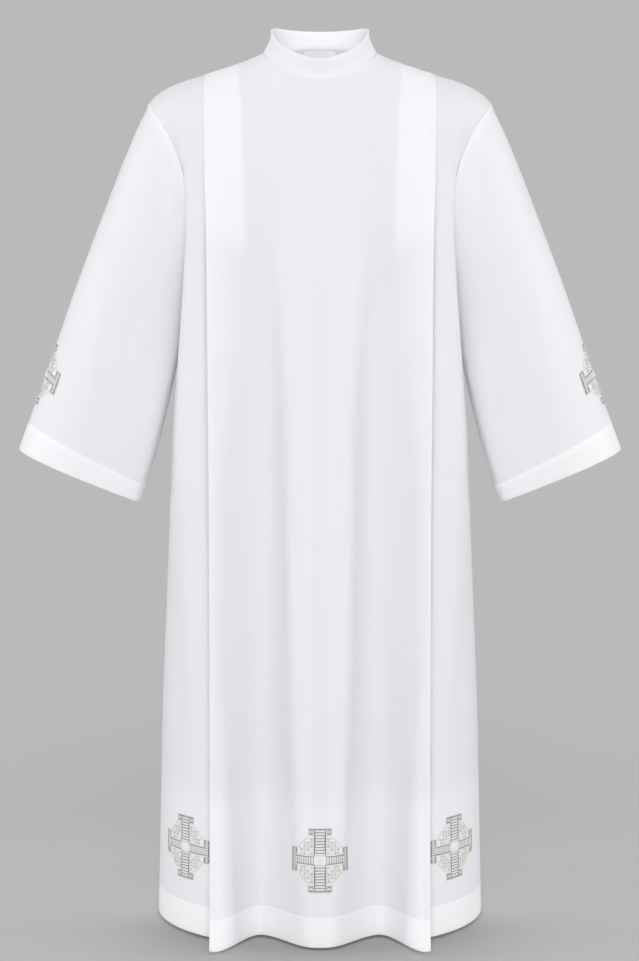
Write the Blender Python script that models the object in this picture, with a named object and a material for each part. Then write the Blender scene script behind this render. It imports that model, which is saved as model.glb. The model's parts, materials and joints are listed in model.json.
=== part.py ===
"""An alb: a white ankle-length robe with a stand collar, two knife pleats and wide sleeves.

It keeps the hollow shape that it has on a wearer. Metres, +Z up, the front towards -Y. The origin is the
middle of the neck opening, level with the two points where the shoulder seams meet the collar: the robe
hangs from there. The left half mirrors the right half.

Each panel is a sheet of points, rows from its top edge to its hem and columns across it. The sheet is the
middle of the cloth; a wall is made by moving it out and in along its normals.
"""

import bmesh
import bpy
import numpy as np

# ---------------------------------------------------------------- driving dimensions, in metres

BODY_LENGTH = 1.400  # neck point to hem
CLOTH = 0.0012  # one layer of cloth
COLLAR_CLOTH = 0.0024  # two layers and interfacing
SEAM_GAP = 0.0003
HEM_DEPTH = 0.047  # cloth turned up inside the hem and the cuffs
TURN_STEP = 0.0015  # height over which the wall thickens where the turned-up layer starts

NECK_HALF = 0.0925  # half width of the neck opening at the collar seam
NECK_DROP = 0.051  # how far the neckline falls at the front
NECK_RISE = 0.020  # how far it rises at the back
SHOULDER_TIP = (0.2715, -0.0760)  # x and z where the shoulder seam meets the armhole
UNDERARM = (0.2020, -0.3885)
CUFF_OUTER = (0.4915, -0.6410)  # the corners of the flat cuff
CUFF_INNER = (0.2970, -0.7240)
SLEEVE_HALF_DEPTH = 0.058  # half the sleeve's front to back size
SLEEVE_EGG = 0.25  # how much rounder its outer edge is than its inner one
SLEEVE_FORWARD = 0.012  # how far the cuff hangs in front of the armhole

MOTIF_HALF = 0.049  # half height of an embroidered cross
MOTIF_ROUNDEL = 0.043  # radius of the round ground behind it
MOTIF_END_HALF = 0.017  # half length of the bar across each of its arms
MOTIF_END_DEEP = 0.008  # and that bar's own width
MOTIF_ABOVE_HEM = 0.131
MOTIF_FRONT_X, MOTIF_BACK_X = 0.215, 0.190  # how far from the middle the side ones are
MOTIF_ABOVE_CUFF = 0.137
MOTIF_STANDOFF = 0.0003
MOTIF_THICK = 0.0010
LABEL_HALF_WIDTH, LABEL_DROP, LABEL_THICK = 0.026, 0.020, 0.0008
LABEL_BELOW_SEAM = 0.003

PLEAT_GAP = 0.0018  # middle of one layer to the middle of the next, where the pleat is pressed
PLEAT_OPEN = 0.0034  # and what the gap grows by at the hem, where each layer is double
PLEAT_LEVEL = (0.009, 0.038)  # how far past the pleat's edge the side is level again: at the seam, and below

HEM = -BODY_LENGTH
RIGHT, LEFT = 1, -1


# ---------------------------------------------------------------- smooth curves and tables


def through(knots, values):
    """A smooth curve through the knots that never swings past them."""
    order = np.argsort(knots)
    x, y = np.asarray(knots, float)[order], np.asarray(values, float)[order]
    step = np.diff(x)
    slope = np.diff(y) / step
    tangent = np.zeros(len(x))
    tangent[0], tangent[-1] = slope[0], slope[-1]
    for i in range(1, len(x) - 1):
        if slope[i - 1] * slope[i] > 0:
            tangent[i] = 2 * slope[i - 1] * slope[i] / (slope[i - 1] + slope[i])

    def curve(at):
        at = np.clip(at, x[0], x[-1])
        i = np.clip(np.searchsorted(x, at, side="right") - 1, 0, len(x) - 2)
        t = (at - x[i]) / step[i]
        start = y[i] * (1 + 2 * t) * (1 - t) ** 2 + tangent[i] * step[i] * t * (1 - t) ** 2
        end = y[i + 1] * t**2 * (3 - 2 * t) + tangent[i + 1] * step[i] * t**2 * (t - 1)
        return start + end

    return curve


def table(columns, *rows):
    """Named columns over the first one. Each is read as a smooth curve."""
    data = np.array(rows, float)
    return {name: through(data[:, 0], data[:, i]) for i, name in enumerate(columns.split()) if i}


def ease(t):
    t = np.clip(t, 0, 1)
    return t * t * (3 - 2 * t)


# The shoulder seam's height over its distance from the middle. Inside the neck it goes on rising, unseen.
SHOULDER = table(
    "x z roll",
    (0.0000, 0.0560, 0.120),
    (0.0290, 0.0485, 0.120),
    (0.0585, 0.0305, 0.120),
    (0.0780, 0.0135, 0.118),
    (NECK_HALF, 0.0000, 0.115),
    (0.1335, -0.0135, 0.105),
    (0.1755, -0.0265, 0.095),
    (0.2145, -0.0390, 0.085),
    (0.2320, -0.0455, 0.080),
    (0.2485, -0.0545, 0.077),
    (0.2625, -0.0650, 0.075),
    (*SHOULDER_TIP, 0.075),
)

# The front's section at each height: a rounded shape out to the ridge, then back to the seam.
FRONT = table(
    "z     centre  side   reach   power ridge_x  seam_x  seam_y",
    (0.056, 0.074, 0.030, 0.2915, 2.40, 0.2370, 0.2700, 0.046),
    (-0.051, 0.078, 0.030, 0.2925, 2.40, 0.2300, 0.2710, 0.048),
    (-0.076, 0.084, 0.034, 0.2920, 2.40, 0.2265, 0.2715, 0.054),
    (-0.112, 0.092, 0.044, 0.2795, 2.40, 0.2220, 0.2515, 0.062),
    (-0.148, 0.099, 0.056, 0.2425, 2.40, 0.2175, 0.2315, 0.067),
    (-0.194, 0.108, 0.066, 0.2155, 2.40, 0.2145, 0.2155, 0.067),
    (-0.242, 0.115, 0.069, 0.2125, 2.40, 0.2125, 0.2070, 0.061),
    (-0.291, 0.122, 0.070, 0.2120, 2.40, 0.2120, 0.2025, 0.049),
    (-0.335, 0.127, 0.067, 0.2145, 2.35, 0.2145, 0.2010, 0.033),
    (-0.369, 0.130, 0.063, 0.2170, 2.32, 0.2170, 0.2015, 0.018),
    (-0.3885, 0.132, 0.060, 0.2185, 2.30, 0.2185, 0.2020, 0.000),
    (-0.487, 0.141, 0.050, 0.2270, 2.25, 0.2270, 0.2130, 0.000),
    (-0.626, 0.152, 0.038, 0.2385, 2.20, 0.2385, 0.2305, 0.000),
    (-0.735, 0.161, 0.030, 0.2430, 2.15, 0.2430, 0.2400, 0.000),
    (-0.887, 0.174, 0.022, 0.2505, 2.10, 0.2505, 0.2490, 0.000),
    (-1.060, 0.187, 0.017, 0.2585, 2.05, 0.2585, 0.2575, 0.000),
    (-1.193, 0.196, 0.014, 0.2625, 2.00, 0.2625, 0.2620, 0.000),
    (HEM, 0.207, 0.012, 0.2680, 2.00, 0.2680, 0.2675, 0.000),
)

# Where the front's folds lie at each height, and how far they have opened: 0 at the chest, 1 at the hem.
FOLDS = table(
    "z     valley_x  tuck_x  pleat_x  open",
    (0.000, NECK_HALF, 0.1335, 0.1860, 0.00),
    (-0.116, 0.0940, 0.1270, 0.1815, 0.00),
    (-0.213, 0.0980, 0.1225, 0.1795, 0.02),
    (-0.291, 0.1010, 0.1200, 0.1780, 0.10),
    (-0.388, 0.1020, 0.1195, 0.1775, 0.30),
    (-0.556, 0.1030, 0.1190, 0.1765, 0.58),
    (-0.735, 0.1030, 0.1195, 0.1755, 0.76),
    (-0.988, 0.1010, 0.1225, 0.1750, 0.90),
    (-1.193, 0.0975, 0.1255, 0.1740, 0.97),
    (HEM, 0.0940, 0.1275, 0.1740, 1.00),
)
FOLD_CENTRE, FOLD_VALLEY, FOLD_EDGE = -0.009, -0.052, 0.060  # how far the cloth stands out at the hem
FOLD_CREST_HALF = 0.016  # half width of the flat top of the middle fold

# The back's section, in the same way.
BACK = table(
    "z     centre  side   reach   power ridge_x  seam_x  seam_y",
    (0.056, 0.097, 0.030, 0.2915, 2.40, 0.2370, 0.2700, 0.046),
    (-0.051, 0.103, 0.032, 0.2925, 2.40, 0.2380, 0.2710, 0.046),
    (-0.076, 0.106, 0.034, 0.2920, 2.40, 0.2360, 0.2715, 0.046),
    (-0.112, 0.110, 0.042, 0.2835, 2.40, 0.2295, 0.2550, 0.050),
    (-0.148, 0.113, 0.050, 0.2660, 2.40, 0.2220, 0.2395, 0.053),
    (-0.194, 0.116, 0.056, 0.2410, 2.40, 0.2135, 0.2265, 0.053),
    (-0.242, 0.118, 0.058, 0.2225, 2.40, 0.2090, 0.2160, 0.050),
    (-0.291, 0.119, 0.057, 0.2125, 2.40, 0.2080, 0.2085, 0.043),
    (-0.335, 0.119, 0.054, 0.2100, 2.35, 0.2090, 0.2035, 0.033),
    (-0.369, 0.119, 0.050, 0.2120, 2.32, 0.2115, 0.2020, 0.018),
    (-0.3885, 0.119, 0.047, 0.2135, 2.30, 0.2135, 0.2020, 0.000),
    (-0.487, 0.122, 0.038, 0.2240, 2.25, 0.2240, 0.2130, 0.000),
    (-0.626, 0.130, 0.028, 0.2365, 2.20, 0.2365, 0.2305, 0.000),
    (-0.735, 0.138, 0.023, 0.2415, 2.15, 0.2415, 0.2400, 0.000),
    (-0.887, 0.149, 0.018, 0.2495, 2.10, 0.2495, 0.2490, 0.000),
    (-1.060, 0.162, 0.015, 0.2580, 2.05, 0.2580, 0.2575, 0.000),
    (-1.193, 0.172, 0.013, 0.2620, 2.00, 0.2620, 0.2620, 0.000),
    (HEM, 0.187, 0.012, 0.2680, 2.00, 0.2680, 0.2675, 0.000),
)

# The back's soft folds at the hem: where along the panel each one lies, and how far it stands out there.
BACK_FOLDS = table(
    "share out",
    (-0.28, -0.026),
    (0.00, 0.004),
    (0.28, -0.026),
    (0.55, 0.010),
    (0.80, -0.022),
    (1.00, 0.000),
)
BACK_OPEN = table("z open", (0.0, 0.0), (-0.30, 0.0), (-0.50, 0.22), (-0.80, 0.58), (-1.10, 0.84), (HEM, 1.0))

# The sleeve's outer and inner edges, seen from the front.
SLEEVE_OUTER = table(
    "z x",
    (SHOULDER_TIP[1], SHOULDER_TIP[0]),
    (-0.1265, 0.2970),
    (-0.2060, 0.3320),
    (-0.2870, 0.3650),
    (-0.3675, 0.3955),
    (-0.4485, 0.4240),
    (-0.5305, 0.4530),
    (CUFF_OUTER[1], CUFF_OUTER[0]),
)
SLEEVE_INNER = table(
    "z x",
    (UNDERARM[1], UNDERARM[0]),
    (-0.4130, 0.2115),
    (-0.4375, 0.2185),
    (-0.4870, 0.2300),
    (-0.6005, 0.2560),
    (-0.6755, 0.2775),
    (CUFF_INNER[1], CUFF_INNER[0]),
)

# The collar's top edge over the angle round the neck: 0 at the front, 180 at the back.
COLLAR_RIM = table(
    "angle z",
    (-29, -0.0070),
    (0, -0.0175),
    (29, -0.0070),
    (53, 0.0090),
    (80, 0.0310),
    (97, 0.0410),
    (125, 0.0455),
    (180, 0.0455),
)
RIM_HALF_WIDTH, RIM_FRONT, RIM_BACK = 0.0770, 0.067, 0.063

# How far below its top edge each row of the front, the back and the sleeve's first ring lies. The first rows
# are spaced round the roll of the shoulder, and the last of this list is the underarm.
ROLL_ROWS = 0.075 * (1 - np.cos(np.radians([0, 18, 36, 54, 72, 90])))
ARMHOLE_HEIGHTS = np.array([-0.184, -0.232, -0.286, -0.335, -0.368, UNDERARM[1]])
ARMHOLE_ROWS = np.concatenate([ROLL_ROWS, SHOULDER_TIP[1] - ARMHOLE_HEIGHTS])
SKIRT_HEIGHTS = np.array([-0.487, -0.605, -0.725, -0.845, -0.970, -1.090, -1.225])
TURN_UP_HEIGHTS = np.array([HEM + HEM_DEPTH + TURN_STEP, HEM + HEM_DEPTH, HEM])
ROW_DROPS = np.concatenate([ARMHOLE_ROWS, SHOULDER_TIP[1] - SKIRT_HEIGHTS, SHOULDER_TIP[1] - TURN_UP_HEIGHTS])


# ---------------------------------------------------------------- sheets of points


def unit(v):
    return v / np.maximum(np.linalg.norm(v, axis=-1, keepdims=True), 1e-12)


def points(x, y, z):
    return np.stack(np.broadcast_arrays(x, y, z), axis=-1).astype(float)


def sheet_normals(sheet, facing, closed=False):
    """The unit normal at each point of a sheet, towards the side that facing (+1 or -1) says."""
    if closed:
        across = np.roll(sheet, -1, axis=1) - np.roll(sheet, 1, axis=1)
    else:
        across = np.gradient(sheet, axis=1)
    return facing * unit(np.cross(np.gradient(sheet, axis=0), across))


def neckline(x, facing):
    """The height of the collar seam over the distance from the middle."""
    share = np.clip(np.abs(x) / NECK_HALF, 0, 1)
    if facing < 0:
        return -NECK_DROP * (1 - share**1.9) ** 0.8
    return NECK_RISE * (1 - share**2)


def top_edge(x, facing):
    return np.where(x < NECK_HALF, neckline(x, facing), SHOULDER["z"](x))


def roll(x, z):
    """How far the cloth has come down over the shoulder: 0 on the seam, 1 where it hangs."""
    drop = np.clip((SHOULDER["z"](x) - z) / SHOULDER["roll"](x), 0, 1)
    return np.sqrt(1 - (1 - drop) ** 2)


def bulge(section, x, z):
    """How far the section stands out from the middle plane, before the shoulder's roll."""
    power = section["power"](z)
    side = section["side"](z)
    fill = np.clip(1 - np.clip(x / section["reach"](z), 0, 1) ** power, 0, 1) ** (1 / power)
    return side + (section["centre"](z) - side) * fill


def laid(x, z, depth, facing):
    """A point of the front (facing -1) or the back (+1)."""
    return points(x, facing * (SEAM_GAP / 2 + roll(x, z) * depth), z)


def column(x_at, place, facing):
    """One column of a panel: x_at gives x over the height, and place turns x and z into a point."""
    top = 0.0
    for _ in range(40):
        top = float(top_edge(x_at(top), facing))
    level = 1 - ease((ROW_DROPS - ROLL_ROWS[-1]) / (ARMHOLE_ROWS[-1] - ROLL_ROWS[-1]))
    z = SHOULDER_TIP[1] - ROW_DROPS + (top - SHOULDER_TIP[1]) * level
    return place(x_at(z), z)


def between(low, high, share):
    return lambda z: low(z) + (high(z) - low(z)) * share


def side_columns(section, place_depth, facing, start, count, last):
    """The columns from start out to the ridge, evenly round the section, and on to the seam."""

    def round_x(share):
        def x_at(z):
            reach = section["reach"](z)
            first, end = (np.arcsin(np.clip(v(z) / reach, 0, 1)) for v in (start, section["ridge_x"]))
            return reach * np.sin(first + (end - first) * share)

        return x_at

    made = [column(round_x(i / count), place_depth, facing) for i in range(1, count + 1)]
    for i in range(1, last + 1):
        t = i / last

        def x_at(z, t=t):
            ridge, seam = section["ridge_x"](z), section["seam_x"](z)
            below_arm = ease((UNDERARM[1] - z) / 0.2)
            bend = np.where(seam > ridge, (ridge + seam) / 2, seam + (ridge - seam) * below_arm)
            return (1 - t) ** 2 * ridge + 2 * t * (1 - t) * bend + t**2 * seam

        def place(x, z, t=t):
            ridge = bulge(section, section["ridge_x"](z), z)
            return laid(x, z, ridge + (section["seam_y"](z) - ridge) * t, facing)

        made.append(column(x_at, place, facing))
    return made


# ---------------------------------------------------------------- the front, with its two knife pleats


def fold_height(x, z):
    """How far the front's middle stands out of its plain section: a crest, a valley and the pleat's edge."""
    valley, edge = FOLDS["valley_x"](z), FOLDS["pleat_x"](z)
    crest = FOLD_VALLEY + (FOLD_CENTRE - FOLD_VALLEY) * ease((valley - x) / (valley - FOLD_CREST_HALF))
    rise = FOLD_VALLEY + (FOLD_EDGE - FOLD_VALLEY) * ease((x - valley) / (edge - valley))
    return FOLDS["open"](z) * np.where(x < valley, crest, rise)


def front_middle(x, z):
    return laid(x, z, bulge(FRONT, x, z) + fold_height(x, z), -1)


def front_side_plain(x, z):
    return laid(x, z, bulge(FRONT, x, z), -1)


def frame_of(surface, x, z):
    """A surface's point, its outward normal and its direction away from the middle, along the shoulder."""
    e = 0.0005
    fall = (SHOULDER["z"](x + e) - SHOULDER["z"](x)) * (1 - roll(x, z))
    out = unit(surface(x + e, z + fall) - surface(x - e, z - fall))
    down = surface(x, z - e) - surface(x, z + e)
    return surface(x, z), unit(np.cross(down, out)), out


def pleat_gap(z):
    return PLEAT_GAP + PLEAT_OPEN * FOLDS["open"](z)


def front_side(x, z):
    """The side of the front, which lies two layers under the middle next to the pleat's edge."""
    point, normal, _ = frame_of(front_side_plain, x, z)
    level = PLEAT_LEVEL[0] + (PLEAT_LEVEL[1] - PLEAT_LEVEL[0]) * roll(x, z)
    past = np.clip((x - FOLDS["pleat_x"](z)) / level, 0, 1)
    under = 2 * pleat_gap(z) * (1 - FOLDS["open"](z)) * (1 - past)
    return point - normal * under[..., None]


def pleat_columns():
    """The pleat's edge, the layer that runs back under it, the tuck's inner fold and the layer out again."""
    edge, tuck = FOLDS["pleat_x"], FOLDS["tuck_x"]

    def turn(at_edge, degrees):
        def place(x, z):
            point, normal, out = frame_of(front_middle, x, z)
            gap = pleat_gap(z)[..., None]
            sweep = np.radians(degrees)
            depth, aside = (0.5, 1) if at_edge else (1.5, -1)
            centre = point - normal * gap * depth
            return centre + gap / 2 * (normal * np.cos(sweep) + out * aside * np.sin(sweep))

        return place

    def under(x, z):
        point, normal, _ = frame_of(front_middle, x, z)
        return point - normal * pleat_gap(z)[..., None]

    made = [column(edge, turn(True, a), -1) for a in (60, 120, 180)]
    made += [column(between(tuck, edge, share), under, -1) for share in (2 / 3, 1 / 3, 0)]
    made += [column(tuck, turn(False, a), -1) for a in (60, 120, 180)]

    start, end = made[-1], column(edge, front_side, -1)
    out = column(tuck, lambda x, z: frame_of(front_middle, x, z)[2], -1)
    away = column(edge, lambda x, z: frame_of(front_side, x, z)[2], -1)
    length = np.linalg.norm(end - start, axis=-1, keepdims=True)
    for s in (0.25, 0.5, 0.75, 1):
        held = (1 + 2 * s) * (1 - s) ** 2 * start + s * s * (3 - 2 * s) * end
        made.append(held + length * (s * (1 - s) ** 2 * out + s * s * (s - 1) * away))
    return made


SIDE_COLUMNS = 10  # from the point under the pleat's edge to the side seam
NECK_COLUMNS = 8
NECK_SHARES = np.sin(np.radians(np.linspace(0, 90, NECK_COLUMNS + 1)))  # even steps round the neckline


def front_half():
    def nothing(z):
        return np.zeros_like(np.asarray(z, float))

    valley, tuck, edge = FOLDS["valley_x"], FOLDS["tuck_x"], FOLDS["pleat_x"]
    made = [column(between(nothing, valley, share), front_middle, -1) for share in NECK_SHARES]
    made += [column(between(valley, tuck, i / 3), front_middle, -1) for i in (1, 2, 3)]
    made += [column(between(tuck, edge, i / 4), front_middle, -1) for i in (1, 2, 3, 4)]
    made += pleat_columns()
    made += side_columns(FRONT, front_side, -1, edge, SIDE_COLUMNS - 4, 3)
    sheet = np.stack(made, axis=1)
    sheet[0, NECK_COLUMNS:, 1] = -SEAM_GAP / 2
    return sheet


def back_half():
    """The back in one piece, with soft folds that open towards the hem."""

    def share_x(share):
        return lambda z: NECK_HALF * share * (1 + 0 * z)

    def place(x, z):
        out = BACK_OPEN["open"](z) * BACK_FOLDS["out"](x / BACK["ridge_x"](z))
        return laid(x, z, bulge(BACK, x, z) + out, 1)

    made = [column(share_x(share), place, 1) for share in NECK_SHARES]
    made += side_columns(BACK, place, 1, share_x(1), 12, 2)
    return np.stack(made, axis=1)


def whole(half):
    """Both halves of a panel, from its left edge to its right one."""
    return np.concatenate([half[:, :0:-1] * (-1, 1, 1), half], axis=1)


# ---------------------------------------------------------------- the sleeve

SLEEVE_SHARES = np.array([0, 0.03, 0.08, 0.15, 0.24, 0.34, 0.45, 0.56, 0.67, 0.78, 0.87])


def sleeve_sheet(front, back, body_normals):
    """The right sleeve: its first ring is the armhole, and each ring is an egg between its two edges."""
    rows = len(ARMHOLE_ROWS)
    armhole = np.concatenate([front[:rows, -1], back[rows - 2 : 0 : -1, -1]])
    drop = (SHOULDER_TIP[1] - armhole[:, 2]) / (SHOULDER_TIP[1] - UNDERARM[1])
    angle = np.arccos(np.clip(1 - 2 * drop, -1, 1)) * np.where(np.arange(len(armhole)) < rows, 1, -1)

    length = np.hypot(CUFF_OUTER[0] - SHOULDER_TIP[0], CUFF_OUTER[1] - SHOULDER_TIP[1])
    turn = 1 - HEM_DEPTH / length
    shares = np.concatenate([SLEEVE_SHARES, [turn - TURN_STEP / length, turn, 1]])

    def ring(share):
        top_z = SHOULDER_TIP[1] + (CUFF_OUTER[1] - SHOULDER_TIP[1]) * share
        low_z = UNDERARM[1] + (CUFF_INNER[1] - UNDERARM[1]) * share
        top = np.array([SLEEVE_OUTER["x"](top_z), -SLEEVE_FORWARD * ease(share), top_z])
        low = np.array([SLEEVE_INNER["x"](low_z), -SLEEVE_FORWARD * ease(share), low_z])
        depth = SLEEVE_HALF_DEPTH * (1 + SLEEVE_EGG * np.cos(angle)) * np.sin(angle)
        egg = (top + low) / 2 + (top - low) / 2 * np.cos(angle)[:, None]
        return egg - depth[:, None] * (0, 1, 0)

    settle = armhole - ring(0.0)
    fade = 1 - ease(shares / 0.4)[:, None, None]
    sheet = np.stack([ring(s) for s in shares]) + settle * fade

    # Where the sleeve turns away from the body sharply, it lies on the outside of the body's edge.
    own = sheet_normals(sheet, -1, closed=True)[0]
    turned = 1 - (own * body_normals).sum(axis=-1, keepdims=True)
    sharp = np.clip(2 * turned, 0, 1)
    sheet[0] += unit(sheet[1] - sheet[0]) * SEAM_GAP * (1 - sharp)
    return sheet + body_normals * (CLOTH / 2 * turned + 1.5 * SEAM_GAP * sharp) * fade


# ---------------------------------------------------------------- the collar


def collar_sheet(front, back, front_normals, back_normals):
    """The stand collar, from the neckline's points up to its top edge, closed all round."""
    edge = np.concatenate([front[0, : NECK_COLUMNS + 1], back[0, NECK_COLUMNS - 1 :: -1]])
    normal = np.concatenate([front_normals[0, : NECK_COLUMNS + 1], back_normals[0, NECK_COLUMNS - 1 :: -1]])
    edge[NECK_COLUMNS, 1] = 0
    flip = (-1, 1, 1)
    edge = np.concatenate([edge, edge[-2:0:-1] * flip])
    normal = np.concatenate([normal, normal[-2:0:-1] * flip])

    tangent = np.roll(edge, -1, axis=0) - np.roll(edge, 1, axis=0)
    inward = unit(np.cross((0, 0, 1), tangent * (1, 1, 0)))
    lean = np.abs((normal * inward).sum(axis=1))
    base = edge + inward * (SEAM_GAP + COLLAR_CLOTH / 2 + CLOTH / 2 * lean)[:, None] - (0, 0, CLOTH / 2)

    angle = np.degrees(np.arctan2(np.abs(edge[:, 0]), -edge[:, 1]))
    turn = np.radians(angle)
    depth = np.where(angle < 90, RIM_FRONT, RIM_BACK)
    rim_x = RIM_HALF_WIDTH * np.sin(turn) * np.sign(edge[:, 0])
    rim = points(rim_x, -depth * np.cos(turn), COLLAR_RIM["z"](angle))

    rows = np.array([1, 0.93, 0.70, 0.45, 0.20, 0])
    flare = 0.0016 * np.sin(np.pi * rows)
    return base + (rim - base) * rows[:, None, None] - inward * flare[:, None, None]


# ---------------------------------------------------------------- solids


def material(name, colour, roughness):
    made = bpy.data.materials.new(name)
    made.use_nodes = True
    shader = made.node_tree.nodes["Principled BSDF"]
    shader.inputs["Base Color"].default_value = (*colour, 1)
    shader.inputs["Roughness"].default_value = roughness
    made.diffuse_color = (*colour, 1)
    return made


def wall(name, outer, inner, look, closed=False):
    """A solid between two sheets of points of the same rows and columns, with rims round its edges.

    Solidify isn't used, because it knows only its own panel: here the panels that meet at a seam share
    their normals, so that their walls end flush and don't cross, and hems can be two layers thick.
    """
    rows, columns = outer.shape[:2]
    shell = bmesh.new()
    skin, lining = ([[shell.verts.new(p) for p in row] for row in sheet] for sheet in (outer, inner))
    last = columns if closed else columns - 1
    for r in range(rows - 1):
        for c in range(last):
            d = (c + 1) % columns
            for sheet in (skin, lining):
                shell.faces.new((sheet[r][c], sheet[r][d], sheet[r + 1][d], sheet[r + 1][c]))
    for r in (0, rows - 1):
        for c in range(last):
            d = (c + 1) % columns
            shell.faces.new((skin[r][c], skin[r][d], lining[r][d], lining[r][c]))
    if not closed:
        for c in (0, columns - 1):
            for r in range(rows - 1):
                shell.faces.new((skin[r][c], skin[r + 1][c], lining[r + 1][c], lining[r][c]))
    bmesh.ops.recalc_face_normals(shell, faces=shell.faces)
    mesh = bpy.data.meshes.new(name)
    shell.to_mesh(mesh)
    shell.free()
    mesh.shade_smooth()
    mesh.set_sharp_from_angle(angle=np.radians(50))
    mesh.materials.append(look)
    made = bpy.data.objects.new(name, mesh)
    ROBE.objects.link(made)
    return made


def cloth_skins(sheet, normals, turned_rows):
    """The outer and inner points of a cloth panel, whose last turned_rows rows are two layers thick."""
    thick = np.full(len(sheet), CLOTH / 2)
    thick[-turned_rows:] += CLOTH
    return sheet + normals * CLOTH / 2, sheet - normals * thick[:, None, None]


def share_normals(one, other):
    """Gives two edges that meet at a seam the same normals, where their cloth goes on nearly straight."""
    straight = ease(((one * other).sum(axis=-1, keepdims=True) - 0.4) / 0.3)
    return unit(one + other * straight), unit(other + one * straight)


def patch(name, skin, normals, row, col, half_widths, low, high, standoff, thick, look):
    """A thin solid on a panel, made from the panel's own points, moved out.

    row and col are its centre in the panel's grid. Its columns are the panel's, and those at half_widths;
    low and high give where it ends along each column.
    """

    def sample(grid, r, c):
        r0 = np.clip(np.floor(r).astype(int), 0, grid.shape[0] - 2)
        c0 = np.clip(np.floor(c).astype(int), 0, grid.shape[1] - 2)
        fr, fc = (r - r0)[..., None], (c - c0)[..., None]
        top = grid[r0, c0] * (1 - fc) + grid[r0, c0 + 1] * fc
        return top * (1 - fr) + (grid[r0 + 1, c0] * (1 - fc) + grid[r0 + 1, c0 + 1] * fc) * fr

    def arc(line):
        return np.concatenate([[0], np.cumsum(np.linalg.norm(np.diff(line, axis=0), axis=1))])

    every_row, every_col = np.arange(skin.shape[0]), np.arange(skin.shape[1])
    down = arc(sample(skin, every_row.astype(float), np.full(len(every_row), float(col))))
    across = arc(sample(skin, np.full(len(every_col), float(row)), every_col.astype(float)))
    down -= np.interp(row, every_row, down)
    across -= np.interp(col, every_col, across)

    widest = max(half_widths)
    own = [a for a in across if abs(a) < widest and min(abs(abs(a) - w) for w in half_widths) > 0.001]
    a = np.array(sorted({s * w for w in half_widths for s in (1, -1)} | set(own)))
    b = np.array([low(a), (low(a) + high(a)) / 2, high(a)])
    r = np.interp(b, down, every_row)
    c = np.broadcast_to(np.interp(a, across, every_col), r.shape)
    surface, out = sample(skin, r, c), unit(sample(normals, r, c))
    return wall(name, surface + out * (standoff + thick), surface + out * standoff, look)


def motif_height(a):
    """Half the height of a cross's outline over the distance from its upright: its end bars and roundel."""
    a = np.abs(a)
    round_part = np.sqrt(np.clip(MOTIF_ROUNDEL**2 - a**2, 0, None))
    end = np.where(a > MOTIF_HALF - MOTIF_END_DEEP, MOTIF_END_HALF, 0)
    return np.where(a <= MOTIF_END_HALF, MOTIF_HALF, np.maximum(round_part, end))


MOTIF_COLUMNS = (0, MOTIF_END_HALF, MOTIF_END_HALF + 0.0015, 0.030, MOTIF_HALF - MOTIF_END_DEEP, MOTIF_HALF)


def motif(name, skin, normals, row, col):
    def up(a):
        return -motif_height(a)

    ends = MOTIF_COLUMNS, up, motif_height
    return patch(name, skin, normals, row, col, *ends, MOTIF_STANDOFF, MOTIF_THICK, EMBROIDERY)


def row_at_height(sheet, col, z):
    heights = sheet[:, col, 2]
    return float(np.interp(-z, -heights, np.arange(len(heights))))


def column_at_x(sheet, columns, z, x):
    """The place among these columns of the point at height z whose distance from the middle is x."""
    at = [np.interp(-z, -sheet[:, c, 2], sheet[:, c, 0]) for c in columns]
    return float(np.interp(x, at, columns))


for old in list(bpy.data.objects):
    bpy.data.objects.remove(old)
ROBE = bpy.data.collections.new("alb robe")
bpy.context.scene.collection.children.link(ROBE)

WHITE_CLOTH = material("white cloth", (0.86, 0.86, 0.88), 0.75)
WHITE_COLLAR = material("white collar cloth", (0.87, 0.87, 0.89), 0.70)
EMBROIDERY = material("silver and cream embroidery", (0.62, 0.61, 0.59), 0.50)
LABEL_RIBBON = material("label ribbon", (0.85, 0.85, 0.86), 0.55)

front_right, back_right = front_half(), back_half()
front_sheet, back_sheet = whole(front_right), whole(back_right)
front_normals, back_normals = sheet_normals(front_sheet, 1), sheet_normals(back_sheet, -1)
# Normals shared across the shoulder and side seams lie in the plane between front and back.
on_shoulder = np.abs(front_sheet[0, :, 0]) >= NECK_HALF - 1e-6
front_normals[0, on_shoulder, 1] = 0
back_normals[0, np.abs(back_sheet[0, :, 0]) >= NECK_HALF - 1e-6, 1] = 0
underarm_row = len(ARMHOLE_ROWS) - 1
for panel_normals in (front_normals, back_normals):
    panel_normals[underarm_row:, (0, -1), 1] = 0
    panel_normals[:] = unit(panel_normals)

# The armhole: the sleeve's first ring and the edges of the front and the back.
front_rows = np.arange(underarm_row + 1)
back_rows = np.arange(underarm_row - 1, 0, -1)
body_edge = np.concatenate([front_normals[front_rows, -1], back_normals[back_rows, -1]])
sleeve = sleeve_sheet(front_right, back_right, body_edge)
sleeve_normals = sheet_normals(sleeve, -1, closed=True)
body_edge, sleeve_normals[0] = share_normals(body_edge, sleeve_normals[0])
front_normals[front_rows, -1] = body_edge[: len(front_rows)]
front_normals[front_rows, 0] = body_edge[: len(front_rows)] * (-1, 1, 1)
back_normals[back_rows, -1] = body_edge[len(front_rows) :]
back_normals[back_rows, 0] = body_edge[len(front_rows) :] * (-1, 1, 1)
back_normals[0, -1], back_normals[0, 0] = front_normals[0, -1], front_normals[0, 0]

front_skins = cloth_skins(front_sheet, front_normals, 2)
back_skins = cloth_skins(back_sheet, back_normals, 2)
wall("front", *front_skins, WHITE_CLOTH)
wall("back", *back_skins, WHITE_CLOTH)

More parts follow.
